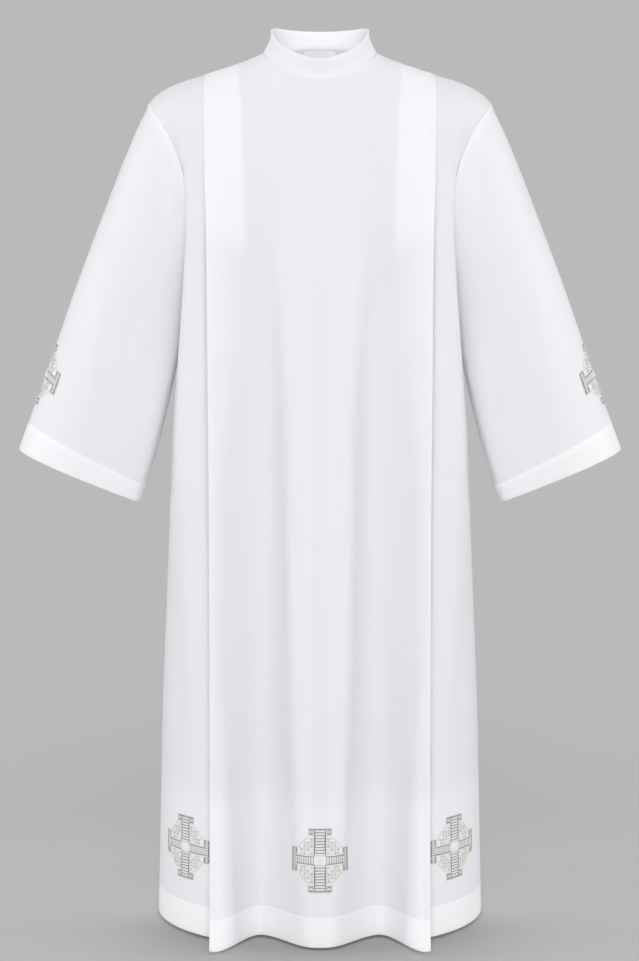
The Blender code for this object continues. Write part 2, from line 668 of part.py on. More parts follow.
for side, word in ((RIGHT, "right"), (LEFT, "left")):
    mirror = (side, 1, 1)
    skins = cloth_skins(sleeve * mirror, sleeve_normals * mirror, 2)
    wall(f"sleeve_{word}", *skins, WHITE_CLOTH, closed=True)
    # The cross on the sleeve wraps over its outer edge, which is the ring's first column.
    middle = sleeve.shape[1] // 2
    turned, turned_normals = (np.roll(v, middle, axis=1) for v in (skins[0], sleeve_normals * mirror))
    outer_edge = np.linalg.norm(np.diff(turned[:, middle], axis=0), axis=1)
    from_cuff = np.concatenate([np.cumsum(outer_edge[::-1])[::-1], [0]])
    row = float(np.interp(-MOTIF_ABOVE_CUFF, -from_cuff, np.arange(len(from_cuff))))
    motif(f"cross_sleeve_{word}", turned, turned_normals, row, middle)

front_right_normals = front_normals[:, front_right.shape[1] - 1 :]
back_right_normals = back_normals[:, back_right.shape[1] - 1 :]
collar = collar_sheet(front_right, back_right, front_right_normals, back_right_normals)
# The top edge's first row is thinner, which rounds it.
half_wall = COLLAR_CLOTH / 2 * np.array([0.45, 1, 1, 1, 1, 1])[:, None, None]
half_wall = sheet_normals(collar, -1, closed=True) * half_wall
wall("collar", collar + half_wall, collar - half_wall, WHITE_COLLAR, closed=True)

# Three crosses stand above the front hem and three above the back hem.
motif_z = HEM + MOTIF_ABOVE_HEM
for panel, skin, normals, side_columns_start, side_x in (
    ("front", front_skins[0], front_normals, front_sheet.shape[1] - SIDE_COLUMNS, MOTIF_FRONT_X),
    ("back", back_skins[0], back_normals, back_sheet.shape[1] // 2, MOTIF_BACK_X),
):
    middle_column = skin.shape[1] // 2
    row = row_at_height(skin, middle_column, motif_z)
    right_column = column_at_x(skin, np.arange(side_columns_start, skin.shape[1]), motif_z, side_x)
    motif(f"cross_{panel}_middle", skin, normals, row, middle_column)
    motif(f"cross_{panel}_right", skin, normals, row, right_column)
    motif(f"cross_{panel}_left", skin, normals, row, 2 * middle_column - right_column)

# The neck label lies on the inside of the back, just under the collar seam.
patch(
    "neck_label",
    back_skins[1],
    -back_normals,
    0,
    back_sheet.shape[1] // 2,
    (0, LABEL_HALF_WIDTH),
    lambda a: LABEL_BELOW_SEAM + 0 * a,
    lambda a: LABEL_BELOW_SEAM + LABEL_DROP + 0 * a,
    SEAM_GAP,
    LABEL_THICK,
    LABEL_RIBBON,
)
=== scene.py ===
# %% [markdown]
# # An alb, sewn in Blender
#
# An alb is a long white robe. This one has a stand collar, a knife pleat from each shoulder, wide sleeves and
# small embroidered crosses above the hem and the cuffs. It is shown filled out, as on a wearer, and hollow.
#
# The robe hangs from the origin, which is the middle of the neck opening. Metres, +Z up, front towards -Y.
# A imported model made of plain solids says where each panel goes. Here every panel is sewn again as thin
# cloth, with its folds, hems, stitches and embroidery.

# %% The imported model
import json
import math

import bpy
import numpy as np
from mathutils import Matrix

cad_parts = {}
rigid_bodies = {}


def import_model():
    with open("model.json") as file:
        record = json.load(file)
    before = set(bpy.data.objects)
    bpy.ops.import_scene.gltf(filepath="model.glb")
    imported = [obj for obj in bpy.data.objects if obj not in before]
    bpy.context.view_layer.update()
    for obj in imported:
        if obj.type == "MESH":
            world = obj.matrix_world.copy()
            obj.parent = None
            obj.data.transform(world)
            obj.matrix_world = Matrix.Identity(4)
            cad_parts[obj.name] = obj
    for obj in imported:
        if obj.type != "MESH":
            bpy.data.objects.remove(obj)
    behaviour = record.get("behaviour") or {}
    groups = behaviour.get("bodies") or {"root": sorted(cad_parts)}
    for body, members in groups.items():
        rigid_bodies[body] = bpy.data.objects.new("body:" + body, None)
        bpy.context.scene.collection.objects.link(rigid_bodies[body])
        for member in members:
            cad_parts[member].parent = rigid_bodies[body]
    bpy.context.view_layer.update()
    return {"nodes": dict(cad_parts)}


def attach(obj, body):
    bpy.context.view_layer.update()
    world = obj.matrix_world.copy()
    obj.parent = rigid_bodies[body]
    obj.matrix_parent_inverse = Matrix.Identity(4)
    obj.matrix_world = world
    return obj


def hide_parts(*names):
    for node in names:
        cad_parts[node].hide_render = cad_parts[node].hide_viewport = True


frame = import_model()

print("nodes:", ", ".join(sorted(frame["nodes"])))

# %% [markdown]
# ## The camera
#
# The robe is looked at from the front, a little from above, at chest height. The lens is long enough that
# the sleeves aren't stretched, and the whole robe just fits the frame.


# %% Camera
def placed(name, data):
    """A new object in the scene."""
    made = bpy.data.objects.new(name, data)
    bpy.context.scene.collection.objects.link(made)
    return made


CAMERA_PLACE = (-0.0008, -2.79, -0.4355)
CAMERA_DOWN = 5.153  # degrees below level

camera = placed("camera", bpy.data.cameras.new("camera"))
camera.location = CAMERA_PLACE
camera.rotation_euler = (math.radians(90 - CAMERA_DOWN), 0, 0)
camera.data.lens = 63.95
camera.data.sensor_width = 36
bpy.context.scene.camera = camera
print("camera", CAMERA_PLACE, "looks down", CAMERA_DOWN, "degrees")

# %% [markdown]
# ## Curves through a few knots
#
# A pattern maker measures a garment at a few heights and draws smooth curves through the marks. Here each
# table is such a list of marks: its first column is where, and every other column becomes a smooth curve.


# %% Smooth curves and tables
def through(knots, values):
    """A smooth curve through the knots that never swings past them."""
    order = np.argsort(knots)
    x, y = np.asarray(knots, float)[order], np.asarray(values, float)[order]
    step = np.diff(x)
    slope = np.diff(y) / step
    tangent = np.zeros(len(x))
    tangent[0], tangent[-1] = slope[0], slope[-1]
    for i in range(1, len(x) - 1):
        if slope[i - 1] * slope[i] > 0:
            tangent[i] = 2 * slope[i - 1] * slope[i] / (slope[i - 1] + slope[i])

    def curve(at):
        at = np.clip(at, x[0], x[-1])
        i = np.clip(np.searchsorted(x, at, side="right") - 1, 0, len(x) - 2)
        t = (at - x[i]) / step[i]
        start = y[i] * (1 + 2 * t) * (1 - t) ** 2 + tangent[i] * step[i] * t * (1 - t) ** 2
        end = y[i + 1] * t**2 * (3 - 2 * t) + tangent[i + 1] * step[i] * t**2 * (t - 1)
        return start + end

    return curve


def table(columns, *rows):
    """Named columns over the first one. Each is read as a smooth curve."""
    data = np.array(rows, float)
    return {name: through(data[:, 0], data[:, i]) for i, name in enumerate(columns.split()) if i}


def ease(t):
    """A smooth step: 0 up to 0, and 1 from 1 on."""
    t = np.clip(t, 0, 1)
    return t * t * (3 - 2 * t)


def below(z, top, height):
    """A smooth step down the robe: 0 above the top, and 1 once z is the height further down."""
    return ease((top - np.asarray(z)) / height)


def hill(x, at, width, height):
    """A soft hill along x: where it is, its half width and its height."""
    return height * np.exp(-(((x - at) / width) ** 2))


def unit(v):
    return v / np.maximum(np.linalg.norm(v, axis=-1, keepdims=True), 1e-12)


def points(x, y, z):
    return np.stack(np.broadcast_arrays(x, y, z), axis=-1).astype(float)


print("halfway up an eased step:", ease(0.5))

# %% [markdown]
# ## The robe's sizes
#
# These are a tailor's measures: the length from the neck point, the shoulder, the armhole, the cuff and the
# depth of the hem. Every panel is worked out from them, so that neighbours meet at their seams.

# %% Sizes
BODY_LENGTH = 1.400  # neck point to hem
CLOTH = 0.0009  # one layer
COLLAR_CLOTH = 0.0024  # two layers and interfacing
SEAM_GAP = 0.0003
COLLAR_HOLLOW = 0.0030  # how far the collar's side is hollow between its top edge and the neckline
SEAM_TUCK, COLLAR_SINK = 0.0004, 0.0016  # how far the neckline's edge reaches into the collar
HEM_DEPTH = 0.047  # cloth turned up inside the hem and the cuffs
TURN_STEP = 0.0015  # over this much the inner face steps in to the turned-up layer

NECK_HALF, NECK_DROP, NECK_RISE = 0.0925, 0.051, 0.020  # half its width, and how far it falls and rises
SHOULDER_TIP, UNDERARM = (0.2715, -0.0760), (0.2020, -0.3885)  # x and z
CUFF_OUTER, CUFF_INNER = (0.4915, -0.6325), (0.2930, -0.7180)
SLEEVE_HALF_DEPTH, SLEEVE_FORWARD = 0.058, 0.024
SLEEVE_EGG, SLEEVE_FLATTER = 0.25, 0.50  # its rings are fuller outside, and flatter inside
SLEEVE_SETTLE = 0.4  # the armhole's shape fades out over this share of the sleeve
OUTER_EASE = 0.0035  # how far the sleeve's outer fold lies inside its pattern

PLEAT_GAP, PLEAT_OPEN = 0.0013, 0.0037  # between layers where it is pressed, and how much more below
PLEAT_LOOSENS = (-0.06, 0.24)  # from which height down, and over how much
PLEAT_LEVEL = (0.018, 0.038)  # how far past the pleat's edge the side lies level again, on the seam and below
TROUGH_WIDE, TROUGH_DEEP = 0.014, 0.0085  # the hollow in the side of the front, next to the pleat's edge
TROUGH_STARTS, TROUGH_FADES = (-0.21, 0.20), (-0.70, 0.30)  # from which height down, and over how much
TROUGH_LESS = 0.45  # the share of it that fades

HEM = -BODY_LENGTH
print(f"{BODY_LENGTH} m from neck to hem, cuffs {math.dist(CUFF_OUTER, CUFF_INNER):.3f} m wide")

# %% [markdown]
# ## Where the cloth runs
#
# The shoulder seam falls from the neck to the sleeve. Below it, the front and the back each have a rounded
# section at every height: how deep it is in the middle and at the side, and where it turns back to the seam.

# %% Shoulder, front and back sections
SHOULDER = table(
    "x z roll",
    (0.0000, 0.0560, 0.120),
    (0.0290, 0.0485, 0.120),
    (0.0585, 0.0305, 0.120),
    (0.0780, 0.0135, 0.118),
    (NECK_HALF, 0.0000, 0.115),
    (0.1335, -0.0168, 0.105),
    (0.1755, -0.0302, 0.095),
    (0.2145, -0.0430, 0.085),
    (0.2320, -0.0492, 0.080),
    (0.2485, -0.0573, 0.077),
    (0.2625, -0.0667, 0.075),
    (*SHOULDER_TIP, 0.075),
)
FRONT = table(
    "z     centre  side   reach   power ridge_x  seam_x  seam_y",
    (0.056, 0.074, 0.030, 0.2915, 2.40, 0.2370, 0.2700, 0.046),
    (-0.051, 0.078, 0.030, 0.2925, 2.40, 0.2300, 0.2710, 0.048),
    (-0.076, 0.084, 0.034, 0.2920, 2.40, 0.2265, 0.2715, 0.054),
    (-0.112, 0.092, 0.044, 0.2795, 2.40, 0.2220, 0.2515, 0.062),
    (-0.148, 0.099, 0.056, 0.2425, 2.40, 0.2175, 0.2315, 0.067),
    (-0.194, 0.108, 0.066, 0.2155, 2.40, 0.2145, 0.2155, 0.067),
    (-0.242, 0.115, 0.069, 0.2125, 2.40, 0.2125, 0.2070, 0.061),
    (-0.291, 0.122, 0.070, 0.2120, 2.40, 0.2120, 0.2025, 0.049),
    (-0.335, 0.127, 0.067, 0.2145, 2.35, 0.2145, 0.2010, 0.033),
    (-0.369, 0.130, 0.063, 0.2170, 2.32, 0.2170, 0.2015, 0.018),
    (-0.3885, 0.132, 0.060, 0.2185, 2.30, 0.2185, 0.2020, 0.000),
    (-0.487, 0.141, 0.050, 0.2270, 2.25, 0.2270, 0.2130, 0.000),
    (-0.626, 0.152, 0.038, 0.2385, 2.20, 0.2385, 0.2305, 0.000),
    (-0.735, 0.161, 0.030, 0.2430, 2.15, 0.2430, 0.2400, 0.000),
    (-0.887, 0.174, 0.022, 0.2505, 2.10, 0.2505, 0.2490, 0.000),
    (-1.060, 0.187, 0.017, 0.2585, 2.05, 0.2585, 0.2575, 0.000),
    (-1.193, 0.196, 0.014, 0.2625, 2.00, 0.2625, 0.2620, 0.000),
    (HEM, 0.207, 0.012, 0.2680, 2.00, 0.2680, 0.2675, 0.000),
)
BACK = table(
    "z     centre  side   reach   power ridge_x  seam_x  seam_y",
    (0.056, 0.097, 0.030, 0.2915, 2.40, 0.2370, 0.2700, 0.046),
    (-0.051, 0.103, 0.032, 0.2925, 2.40, 0.2380, 0.2710, 0.046),
    (-0.076, 0.106, 0.034, 0.2920, 2.40, 0.2360, 0.2715, 0.046),
    (-0.112, 0.110, 0.042, 0.2835, 2.40, 0.2295, 0.2550, 0.050),
    (-0.148, 0.113, 0.050, 0.2660, 2.40, 0.2220, 0.2395, 0.053),
    (-0.194, 0.116, 0.056, 0.2410, 2.40, 0.2135, 0.2265, 0.053),
    (-0.242, 0.118, 0.058, 0.2225, 2.40, 0.2090, 0.2160, 0.050),
    (-0.291, 0.119, 0.057, 0.2125, 2.40, 0.2080, 0.2085, 0.043),
    (-0.335, 0.119, 0.054, 0.2100, 2.35, 0.2090, 0.2035, 0.033),
    (-0.369, 0.119, 0.050, 0.2120, 2.32, 0.2115, 0.2020, 0.018),
    (-0.3885, 0.119, 0.047, 0.2135, 2.30, 0.2135, 0.2020, 0.000),
    (-0.487, 0.122, 0.038, 0.2240, 2.25, 0.2240, 0.2130, 0.000),
    (-0.626, 0.130, 0.028, 0.2365, 2.20, 0.2365, 0.2305, 0.000),
    (-0.735, 0.138, 0.023, 0.2415, 2.15, 0.2415, 0.2400, 0.000),
    (-0.887, 0.149, 0.018, 0.2495, 2.10, 0.2495, 0.2490, 0.000),
    (-1.060, 0.162, 0.015, 0.2580, 2.05, 0.2580, 0.2575, 0.000),
    (-1.193, 0.172, 0.013, 0.2620, 2.00, 0.2620, 0.2620, 0.000),
    (HEM, 0.187, 0.012, 0.2680, 2.00, 0.2680, 0.2675, 0.000),
)
print("the front is", round(float(FRONT["centre"](-1.0)), 3), "m deep a metre down")

# %% [markdown]
# The front falls in three soft folds between its two pleats: a crest in the middle, a valley on each side of
# it, and the pleat's edge, which stands out furthest. They are closed at the chest and open at the hem. The
# back has softer ones.

# %% Folds
FOLDS = table(
    "z     valley_x  tuck_x  pleat_x  open  crest  valley  edge",  # the last three: how far it stands out there
    (0.000, NECK_HALF, 0.1335, 0.1850, 0.00, 0.000, 0.000, 0.000),
    (-0.116, 0.0870, 0.1270, 0.1805, 0.00, 0.000, 0.000, 0.000),
    (-0.213, 0.0830, 0.1225, 0.1783, 0.03, 0.001, -0.003, 0.002),
    (-0.291, 0.0810, 0.1200, 0.1757, 0.12, 0.004, -0.010, 0.005),
    (-0.388, 0.0800, 0.1190, 0.1742, 0.32, 0.007, -0.022, 0.010),
    (-0.556, 0.0800, 0.1200, 0.1725, 0.60, 0.009, -0.034, 0.015),
    (-0.735, 0.0800, 0.1210, 0.1712, 0.78, 0.009, -0.041, 0.019),
    (-0.988, 0.0815, 0.1215, 0.1707, 0.91, 0.007, -0.046, 0.026),
    (-1.193, 0.0855, 0.1220, 0.1700, 0.97, 0.002, -0.048, 0.039),
    (HEM, 0.0920, 0.1235, 0.1700, 1.00, -0.001, -0.047, 0.059),
)
CREST_HALF, EDGE_SLOPE = 0.008, 0.7
BACK_FOLDS = table(
    "share out",
    (-0.28, -0.026),
    (0.00, 0.004),
    (0.28, -0.026),
    (0.55, 0.010),
    (0.80, -0.022),
    (1.00, 0.000),
)
BACK_OPEN = table("z open", (0.0, 0.0), (-0.30, 0.0), (-0.50, 0.22), (-0.80, 0.58), (-1.10, 0.84), (HEM, 1.0))
print("halfway down, the pleats are open by", round(float(FOLDS["open"](-0.7)), 2))

# %% [markdown]
# The sleeves' two edges and the collar's top edge are read off in the same way.

# %% Sleeve edges and collar rim
SLEEVE_OUTER = table(
    "z x",
    (SHOULDER_TIP[1], SHOULDER_TIP[0]),
    (-0.1265, 0.2970),
    (-0.2060, 0.3320),
    (-0.2870, 0.3650),
    (-0.3675, 0.3955),
    (-0.4485, 0.4240),
    (-0.5305, 0.4530),
    (CUFF_OUTER[1], CUFF_OUTER[0]),
)
SLEEVE_INNER = table(
    "z x",
    (UNDERARM[1], UNDERARM[0]),
    (-0.4130, 0.2115),
    (-0.4375, 0.2185),
    (-0.4870, 0.2300),
    (-0.6005, 0.2560),
    (-0.6755, 0.2775),
    (CUFF_INNER[1], CUFF_INNER[0]),
)
COLLAR_RIM = table(
    "angle z",  # round the neck: 0 at the front, 180 at the back
    (-29, -0.0070),
    (0, -0.0175),
    (29, -0.0070),
    (53, 0.0090),
    (80, 0.0310),
    (97, 0.0410),
    (125, 0.0455),
    (180, 0.0455),
)
RIM_HALF_WIDTH, RIM_FRONT, RIM_BACK = 0.0770, 0.067, 0.063
print("collar height at the front:", round(float(COLLAR_RIM["z"](0) + NECK_DROP), 4), "m")

# %% [markdown]
# ## A panel is a grid of points
#
# Cloth is easiest to shape as a grid, with rows from the top edge to the hem and columns across. A row here
# is 6 mm from the next, fine enough for soft folds. Round the roll of the shoulder the rows are closer.


# %% Rows
def filled(marks, step):
    """The marks, with more values between them about a step apart."""
    gaps = [np.linspace(a, b, max(1, round(abs(b - a) / step)), endpoint=False) for a, b in zip(marks, marks[1:])]
    return np.append(np.concatenate(gaps), marks[-1])


ROW_STEP = 0.0062
ROLL_HEIGHT, ROLL_COUNT = 0.075, 15  # the quarter turn over the shoulder
LAST_ROWS = np.array([0.0015, 0.0005, 0.0])  # before the end, so that the folded edge is round
ROLL_ROWS = ROLL_HEIGHT * (1 - np.cos(np.radians(np.linspace(0, 90, ROLL_COUNT))))
ARMHOLE_ROWS = np.append(ROLL_ROWS[:-1], filled([ROLL_ROWS[-1], SHOULDER_TIP[1] - UNDERARM[1]], ROW_STEP))
TURN_UP = SHOULDER_TIP[1] - HEM - HEM_DEPTH
SKIRT_ROWS = filled([ARMHOLE_ROWS[-1], TURN_UP - TURN_STEP], ROW_STEP)[1:]
HEM_ROWS = filled([TURN_UP, TURN_UP + HEM_DEPTH - LAST_ROWS[0]], ROW_STEP)
ROUND_ROWS = TURN_UP + HEM_DEPTH - LAST_ROWS[1:]
ROW_DROPS = np.concatenate([ARMHOLE_ROWS, SKIRT_ROWS, HEM_ROWS, ROUND_ROWS])
print(len(ROW_DROPS), "rows from shoulder to hem, of which", len(ARMHOLE_ROWS), "beside the armhole")

# %% [markdown]
# `laid` puts a point of the front or the back where its section says, and `column` runs down a whole column.
# The first rows come down over the shoulder in a quarter turn, which gives the robe its soft shoulder.


# %% Points of the front and the back
def neckline(x, facing):
    """The height of the collar seam over the distance from the middle: nearly an oval in front."""
    share = np.clip(np.abs(x) / NECK_HALF, 0, 1)
    if facing < 0:
        return -NECK_DROP * (1 - share**1.9) ** 0.8
    return NECK_RISE * (1 - share**2)


def top_edge(x, facing):
    return np.where(x < NECK_HALF, neckline(x, facing), SHOULDER["z"](x))


def roll(x, z):
    """How far the cloth has come down over the shoulder: 0 on the seam, 1 where it hangs."""
    drop = np.clip((SHOULDER["z"](x) - z) / SHOULDER["roll"](x), 0, 1)
    return np.sqrt(1 - (1 - drop) ** 2)


def bulge(section, x, z):
    """How far the section stands out from the middle plane, before the shoulder's roll."""
    power = section["power"](z)
    side = section["side"](z)
    fill = np.clip(1 - np.clip(x / section["reach"](z), 0, 1) ** power, 0, 1) ** (1 / power)
    return side + (section["centre"](z) - side) * fill


def laid(x, z, depth, facing):
    """A point of the front (facing -1) or the back (+1)."""
    return points(x, facing * (SEAM_GAP / 2 + roll(x, z) * depth), z)


def column(x_at, place, facing):
    """One column of a panel: x_at gives x over the height, and place turns x and z into a point."""
    top = 0.0
    for _ in range(40):  # its top lies on the edge, whose height depends on x, so it is found in steps
        top = float(top_edge(x_at(top), facing))
    level = 1 - ease((ROW_DROPS - ROLL_ROWS[-1]) / (ARMHOLE_ROWS[-1] - ROLL_ROWS[-1]))
    z = SHOULDER_TIP[1] - ROW_DROPS + (top - SHOULDER_TIP[1]) * level
    return place(x_at(z), z)


def between(low, high, share):
    return lambda z: low(z) + (high(z) - low(z)) * share


print("the neckline falls to", round(float(neckline(0, -1)), 3), "m in front")


# %% The side of a panel, round to the seam
def side_columns(section, place_depth, facing, start, count, last):
    """The columns from start out to the ridge, evenly round the section, and on to the seam."""

    def round_x(share):
        def x_at(z):
            reach = section["reach"](z)
            first, end = (np.arcsin(np.clip(v(z) / reach, 0, 1)) for v in (start, section["ridge_x"]))
            return reach * np.sin(first + (end - first) * share)

        return x_at

    made = [column(round_x(i / count), place_depth, facing) for i in range(1, count + 1)]
    for i in range(1, last + 1):
        t = i / last

        def x_at(z, t=t):
            ridge, seam = section["ridge_x"](z), section["seam_x"](z)
            under_arm = seam + (ridge - seam) * below(z, UNDERARM[1], 0.2)
            bend = np.where(seam > ridge, (ridge + seam) / 2, under_arm)
            return (1 - t) ** 2 * ridge + 2 * t * (1 - t) * bend + t**2 * seam

        def place(x, z, t=t):
            ridge = bulge(section, section["ridge_x"](z), z)
            return laid(x, z, ridge + (section["seam_y"](z) - ridge) * t, facing)

        made.append(column(x_at, place, facing))
    return made


print("the front's side seam stands", round(float(FRONT["seam_x"](HEM)), 4), "m from the middle at the hem")


# %% [markdown]
# ## The front and its knife pleats
#
# A knife pleat is cloth folded back under itself and out again, so that three layers lie on each other. The
# real one is pressed and sewn into the shoulder seam. The grid follows the cloth through both turns: the
# pleat's edge, the layer that runs back under it, the tuck's inner fold and the layer that comes out again.


# %% The front's middle and side
def fold_height(x, z):
    """How far the front's middle stands out of its plain section: a crest, a valley and the pleat's edge."""
    valley, edge = FOLDS["valley_x"](z), FOLDS["pleat_x"](z)
    crest, low, high = (FOLDS[part](z) for part in ("crest", "valley", "edge"))
    round_crest = ease((valley - x) / (valley - CREST_HALF))
    along = np.clip((x - valley) / (edge - valley), 0, 1.2)
    sharp = EDGE_SLOPE * (1 - FOLDS["open"](z) ** 6)
    rise = ease(along) + sharp * (along - 1) * along**2
    return low + np.where(x < valley, (crest - low) * round_crest, (high - low) * rise)


def front_middle(x, z):
    return laid(x, z, bulge(FRONT, x, z) + fold_height(x, z), -1)


def front_side_plain(x, z):
    return laid(x, z, bulge(FRONT, x, z), -1)


def frame_of(surface, x, z):
    """A surface's point, its outward normal and its direction away from the middle, along the shoulder."""
    e = 0.0005
    fall = (SHOULDER["z"](x + e) - SHOULDER["z"](x)) * (1 - roll(x, z))
    out = unit(surface(x + e, z + fall) - surface(x - e, z - fall))
    down = surface(x, z - e) - surface(x, z + e)
    return surface(x, z), unit(np.cross(down, out)), out


def pleat_gap(z):
    return PLEAT_GAP + PLEAT_OPEN * below(z, *PLEAT_LOOSENS)


def front_side(x, z):
    """The side of the front, which lies two layers under the middle next to the pleat's edge."""
    point, normal, _ = frame_of(front_side_plain, x, z)
    level = PLEAT_LEVEL[0] + (PLEAT_LEVEL[1] - PLEAT_LEVEL[0]) * roll(x, z)
    past = np.clip((x - FOLDS["pleat_x"](z)) / level, 0, 1)
    under = 2 * pleat_gap(z) * (1 - FOLDS["open"](z)) * (1 - past)
    beside = np.clip(1 - (x - FOLDS["pleat_x"](z)) / TROUGH_WIDE, 0, 1)
    deep = TROUGH_DEEP * below(z, *TROUGH_STARTS) * (1 - TROUGH_LESS * below(z, *TROUGH_FADES))
    return point - normal * (under + deep * beside**2)[..., None]


print("layers of the pleat are", PLEAT_GAP * 1000, "mm apart at the shoulder")

# %% The pleat
TURN_ANGLES = (30, 60, 90, 120, 150, 180)
UNDER_STEPS, OUT_STEPS = 7, 9


def pleat_columns():
    edge, tuck = FOLDS["pleat_x"], FOLDS["tuck_x"]

    def turn(at_edge, degrees):
        def place(x, z):
            point, normal, out = frame_of(front_middle, x, z)
            gap = pleat_gap(z)[..., None]
            sweep = np.radians(degrees)
            depth, aside = (0.5, 1) if at_edge else (1.5, -1)
            centre = point - normal * gap * depth
            return centre + gap / 2 * (normal * np.cos(sweep) + out * aside * np.sin(sweep))

        return place

    def under(x, z):
        point, normal, _ = frame_of(front_middle, x, z)
        return point - normal * pleat_gap(z)[..., None]

    made = [column(edge, turn(True, a), -1) for a in TURN_ANGLES]
    made += [column(between(tuck, edge, 1 - i / UNDER_STEPS), under, -1) for i in range(1, UNDER_STEPS + 1)]
    made += [column(tuck, turn(False, a), -1) for a in TURN_ANGLES]

    start, end = made[-1], column(edge, front_side, -1)
    out = column(tuck, lambda x, z: frame_of(front_middle, x, z)[2], -1)
    away = column(edge, lambda x, z: frame_of(front_side, x, z)[2], -1)
    length = np.linalg.norm(end - start, axis=-1, keepdims=True)
    for s in np.arange(1, OUT_STEPS + 1) / OUT_STEPS:
        held = (1 + 2 * s) * (1 - s) ** 2 * start + s * s * (3 - 2 * s) * end
        made.append(held + length * (s * (1 - s) ** 2 * out + s * s * (s - 1) * away))
    return made


print("a pleat has", 2 * len(TURN_ANGLES) + UNDER_STEPS + OUT_STEPS, "columns")


# %% Half of the front
NECK_COLUMNS = 26
NECK_SHARES = np.sin(np.radians(np.linspace(0, 90, NECK_COLUMNS + 1)))  # even steps round the neckline
VALLEY_STEPS, EDGE_STEPS = 5, 14
FRONT_ROUND, FRONT_LAST = 24, 9


def front_half():
    def nothing(z):
        return np.zeros_like(np.asarray(z, float))

    valley, tuck, edge = FOLDS["valley_x"], FOLDS["tuck_x"], FOLDS["pleat_x"]
    made = [column(between(nothing, valley, share), front_middle, -1) for share in NECK_SHARES]
    made += [column(between(valley, tuck, i / VALLEY_STEPS), front_middle, -1) for i in range(1, VALLEY_STEPS + 1)]
    made += [column(between(tuck, edge, i / EDGE_STEPS), front_middle, -1) for i in range(1, EDGE_STEPS + 1)]
    made += pleat_columns()
    made += side_columns(FRONT, front_side, -1, edge, FRONT_ROUND, FRONT_LAST)
    sheet = np.stack(made, axis=1)
    sheet[0, NECK_COLUMNS:, 1] = -SEAM_GAP / 2
    return sheet


EDGE_COLUMN = NECK_COLUMNS + VALLEY_STEPS + EDGE_STEPS  # the pleat's edge, counted from the middle
TUCK_COLUMN = NECK_COLUMNS + VALLEY_STEPS
SIDE_COLUMN = EDGE_COLUMN + 2 * len(TURN_ANGLES) + UNDER_STEPS + OUT_STEPS  # where the side comes out again
front_right = front_half()
print("half of the front:", front_right.shape[0], "rows by", front_right.shape[1], "columns")

# %% [markdown]
# ## The back
#
# The back is one plain piece, a little fuller than the front, and falls in soft folds that nobody pressed.


# %% Half of the back
BACK_ROUND, BACK_LAST = 42, 7


def back_half():
    def share_x(share):
        return lambda z: NECK_HALF * share * (1 + 0 * z)

    def place(x, z):
        out = BACK_OPEN["open"](z) * BACK_FOLDS["out"](x / BACK["ridge_x"](z))
        return laid(x, z, bulge(BACK, x, z) + out, 1)

    made = [column(share_x(share), place, 1) for share in NECK_SHARES]
    made += side_columns(BACK, place, 1, share_x(1), BACK_ROUND, BACK_LAST)
    return np.stack(made, axis=1)


back_right = back_half()
print("half of the back:", back_right.shape[0], "rows by", back_right.shape[1], "columns")


# %% Both halves, and the direction that cloth faces
def whole(half):
    """Both halves of a panel, from its left edge to its right one."""
    return np.concatenate([half[:, :0:-1] * (-1, 1, 1), half], axis=1)


def sheet_normals(sheet, facing, closed=False):
    """The unit normal at each point of a sheet, towards the side that facing (+1 or -1) says."""
    if closed:
        across = np.roll(sheet, -1, axis=1) - np.roll(sheet, 1, axis=1)
    else:
        across = np.gradient(sheet, axis=1)
    return facing * unit(np.cross(np.gradient(sheet, axis=0), across))


front_sheet, back_sheet = whole(front_right), whole(back_right)
print("front", front_sheet.shape[:2], "back", back_sheet.shape[:2])

# %% [markdown]
# ## Creases
#
# Real cloth is never as even as a formula. Each crease below is a soft trough or ridge: it
# starts and ends at a height and a distance from the middle, may bow, and fades out at both ends. Both
# halves of the robe get the same ones, as a pressed garment does.


# %% Pressing creases into a panel
def press(sheet, normals, creases, strength=1.0):
    """Moves the points of a sheet along their normals, where the creases say."""
    x, z = np.abs(sheet[..., 0]), sheet[..., 2]
    move = np.zeros_like(x)
    for x0, z0, x1, z1, bow, width, height in creases:
        length = math.hypot(x1 - x0, z1 - z0)
        dx, dz = (x1 - x0) / length, (z1 - z0) / length
        along = ((x - x0) * dx + (z - z0) * dz) / length
        inside = np.clip(along, 0, 1)
        aside = (x - x0) * dz - (z - z0) * dx - bow * 4 * inside * (1 - inside)
        fade = ease(along / 0.3) * ease((1 - along) / 0.3)
        move += hill(aside, 0, width, height) * fade
    return sheet + normals * (move * strength)[..., None]


# Columns: x and z of its start, x and z of its end, bow, half width, height (below 0 is a trough).
BODY_CREASES = (
    (0.150, -0.105, 0.205, -0.185, 0.000, 0.010, -0.0012),
    (0.196, -0.300, 0.205, -0.560, 0.004, 0.012, -0.0020),
    (0.202, -0.640, 0.214, -1.020, -0.006, 0.016, 0.0022),
    (0.226, -0.800, 0.232, -1.200, 0.003, 0.013, -0.0020),
    (0.030, -0.420, 0.022, -0.900, 0.004, 0.012, -0.0010),
    (0.070, -0.090, 0.090, -0.240, 0.006, 0.016, -0.0009),
    (0.010, -0.140, 0.060, -0.200, -0.006, 0.014, -0.0006),
    (0.146, -0.620, 0.150, -1.120, 0.004, 0.011, -0.0014),
)
BACK_CREASES = (
    (0.020, -0.060, 0.120, -0.130, -0.012, 0.014, -0.0012),
    (0.110, -0.180, 0.195, -0.320, 0.010, 0.014, -0.0018),
    (0.060, -0.330, 0.050, -0.760, 0.006, 0.014, -0.0020),
    (0.140, -0.420, 0.150, -0.860, -0.005, 0.016, 0.0020),
    (0.196, -0.560, 0.215, -1.000, 0.005, 0.013, -0.0022),
    (0.095, -0.700, 0.100, -1.150, 0.004, 0.015, -0.0016),
    (0.000, -0.500, 0.004, -0.900, 0.000, 0.012, -0.0010),
)
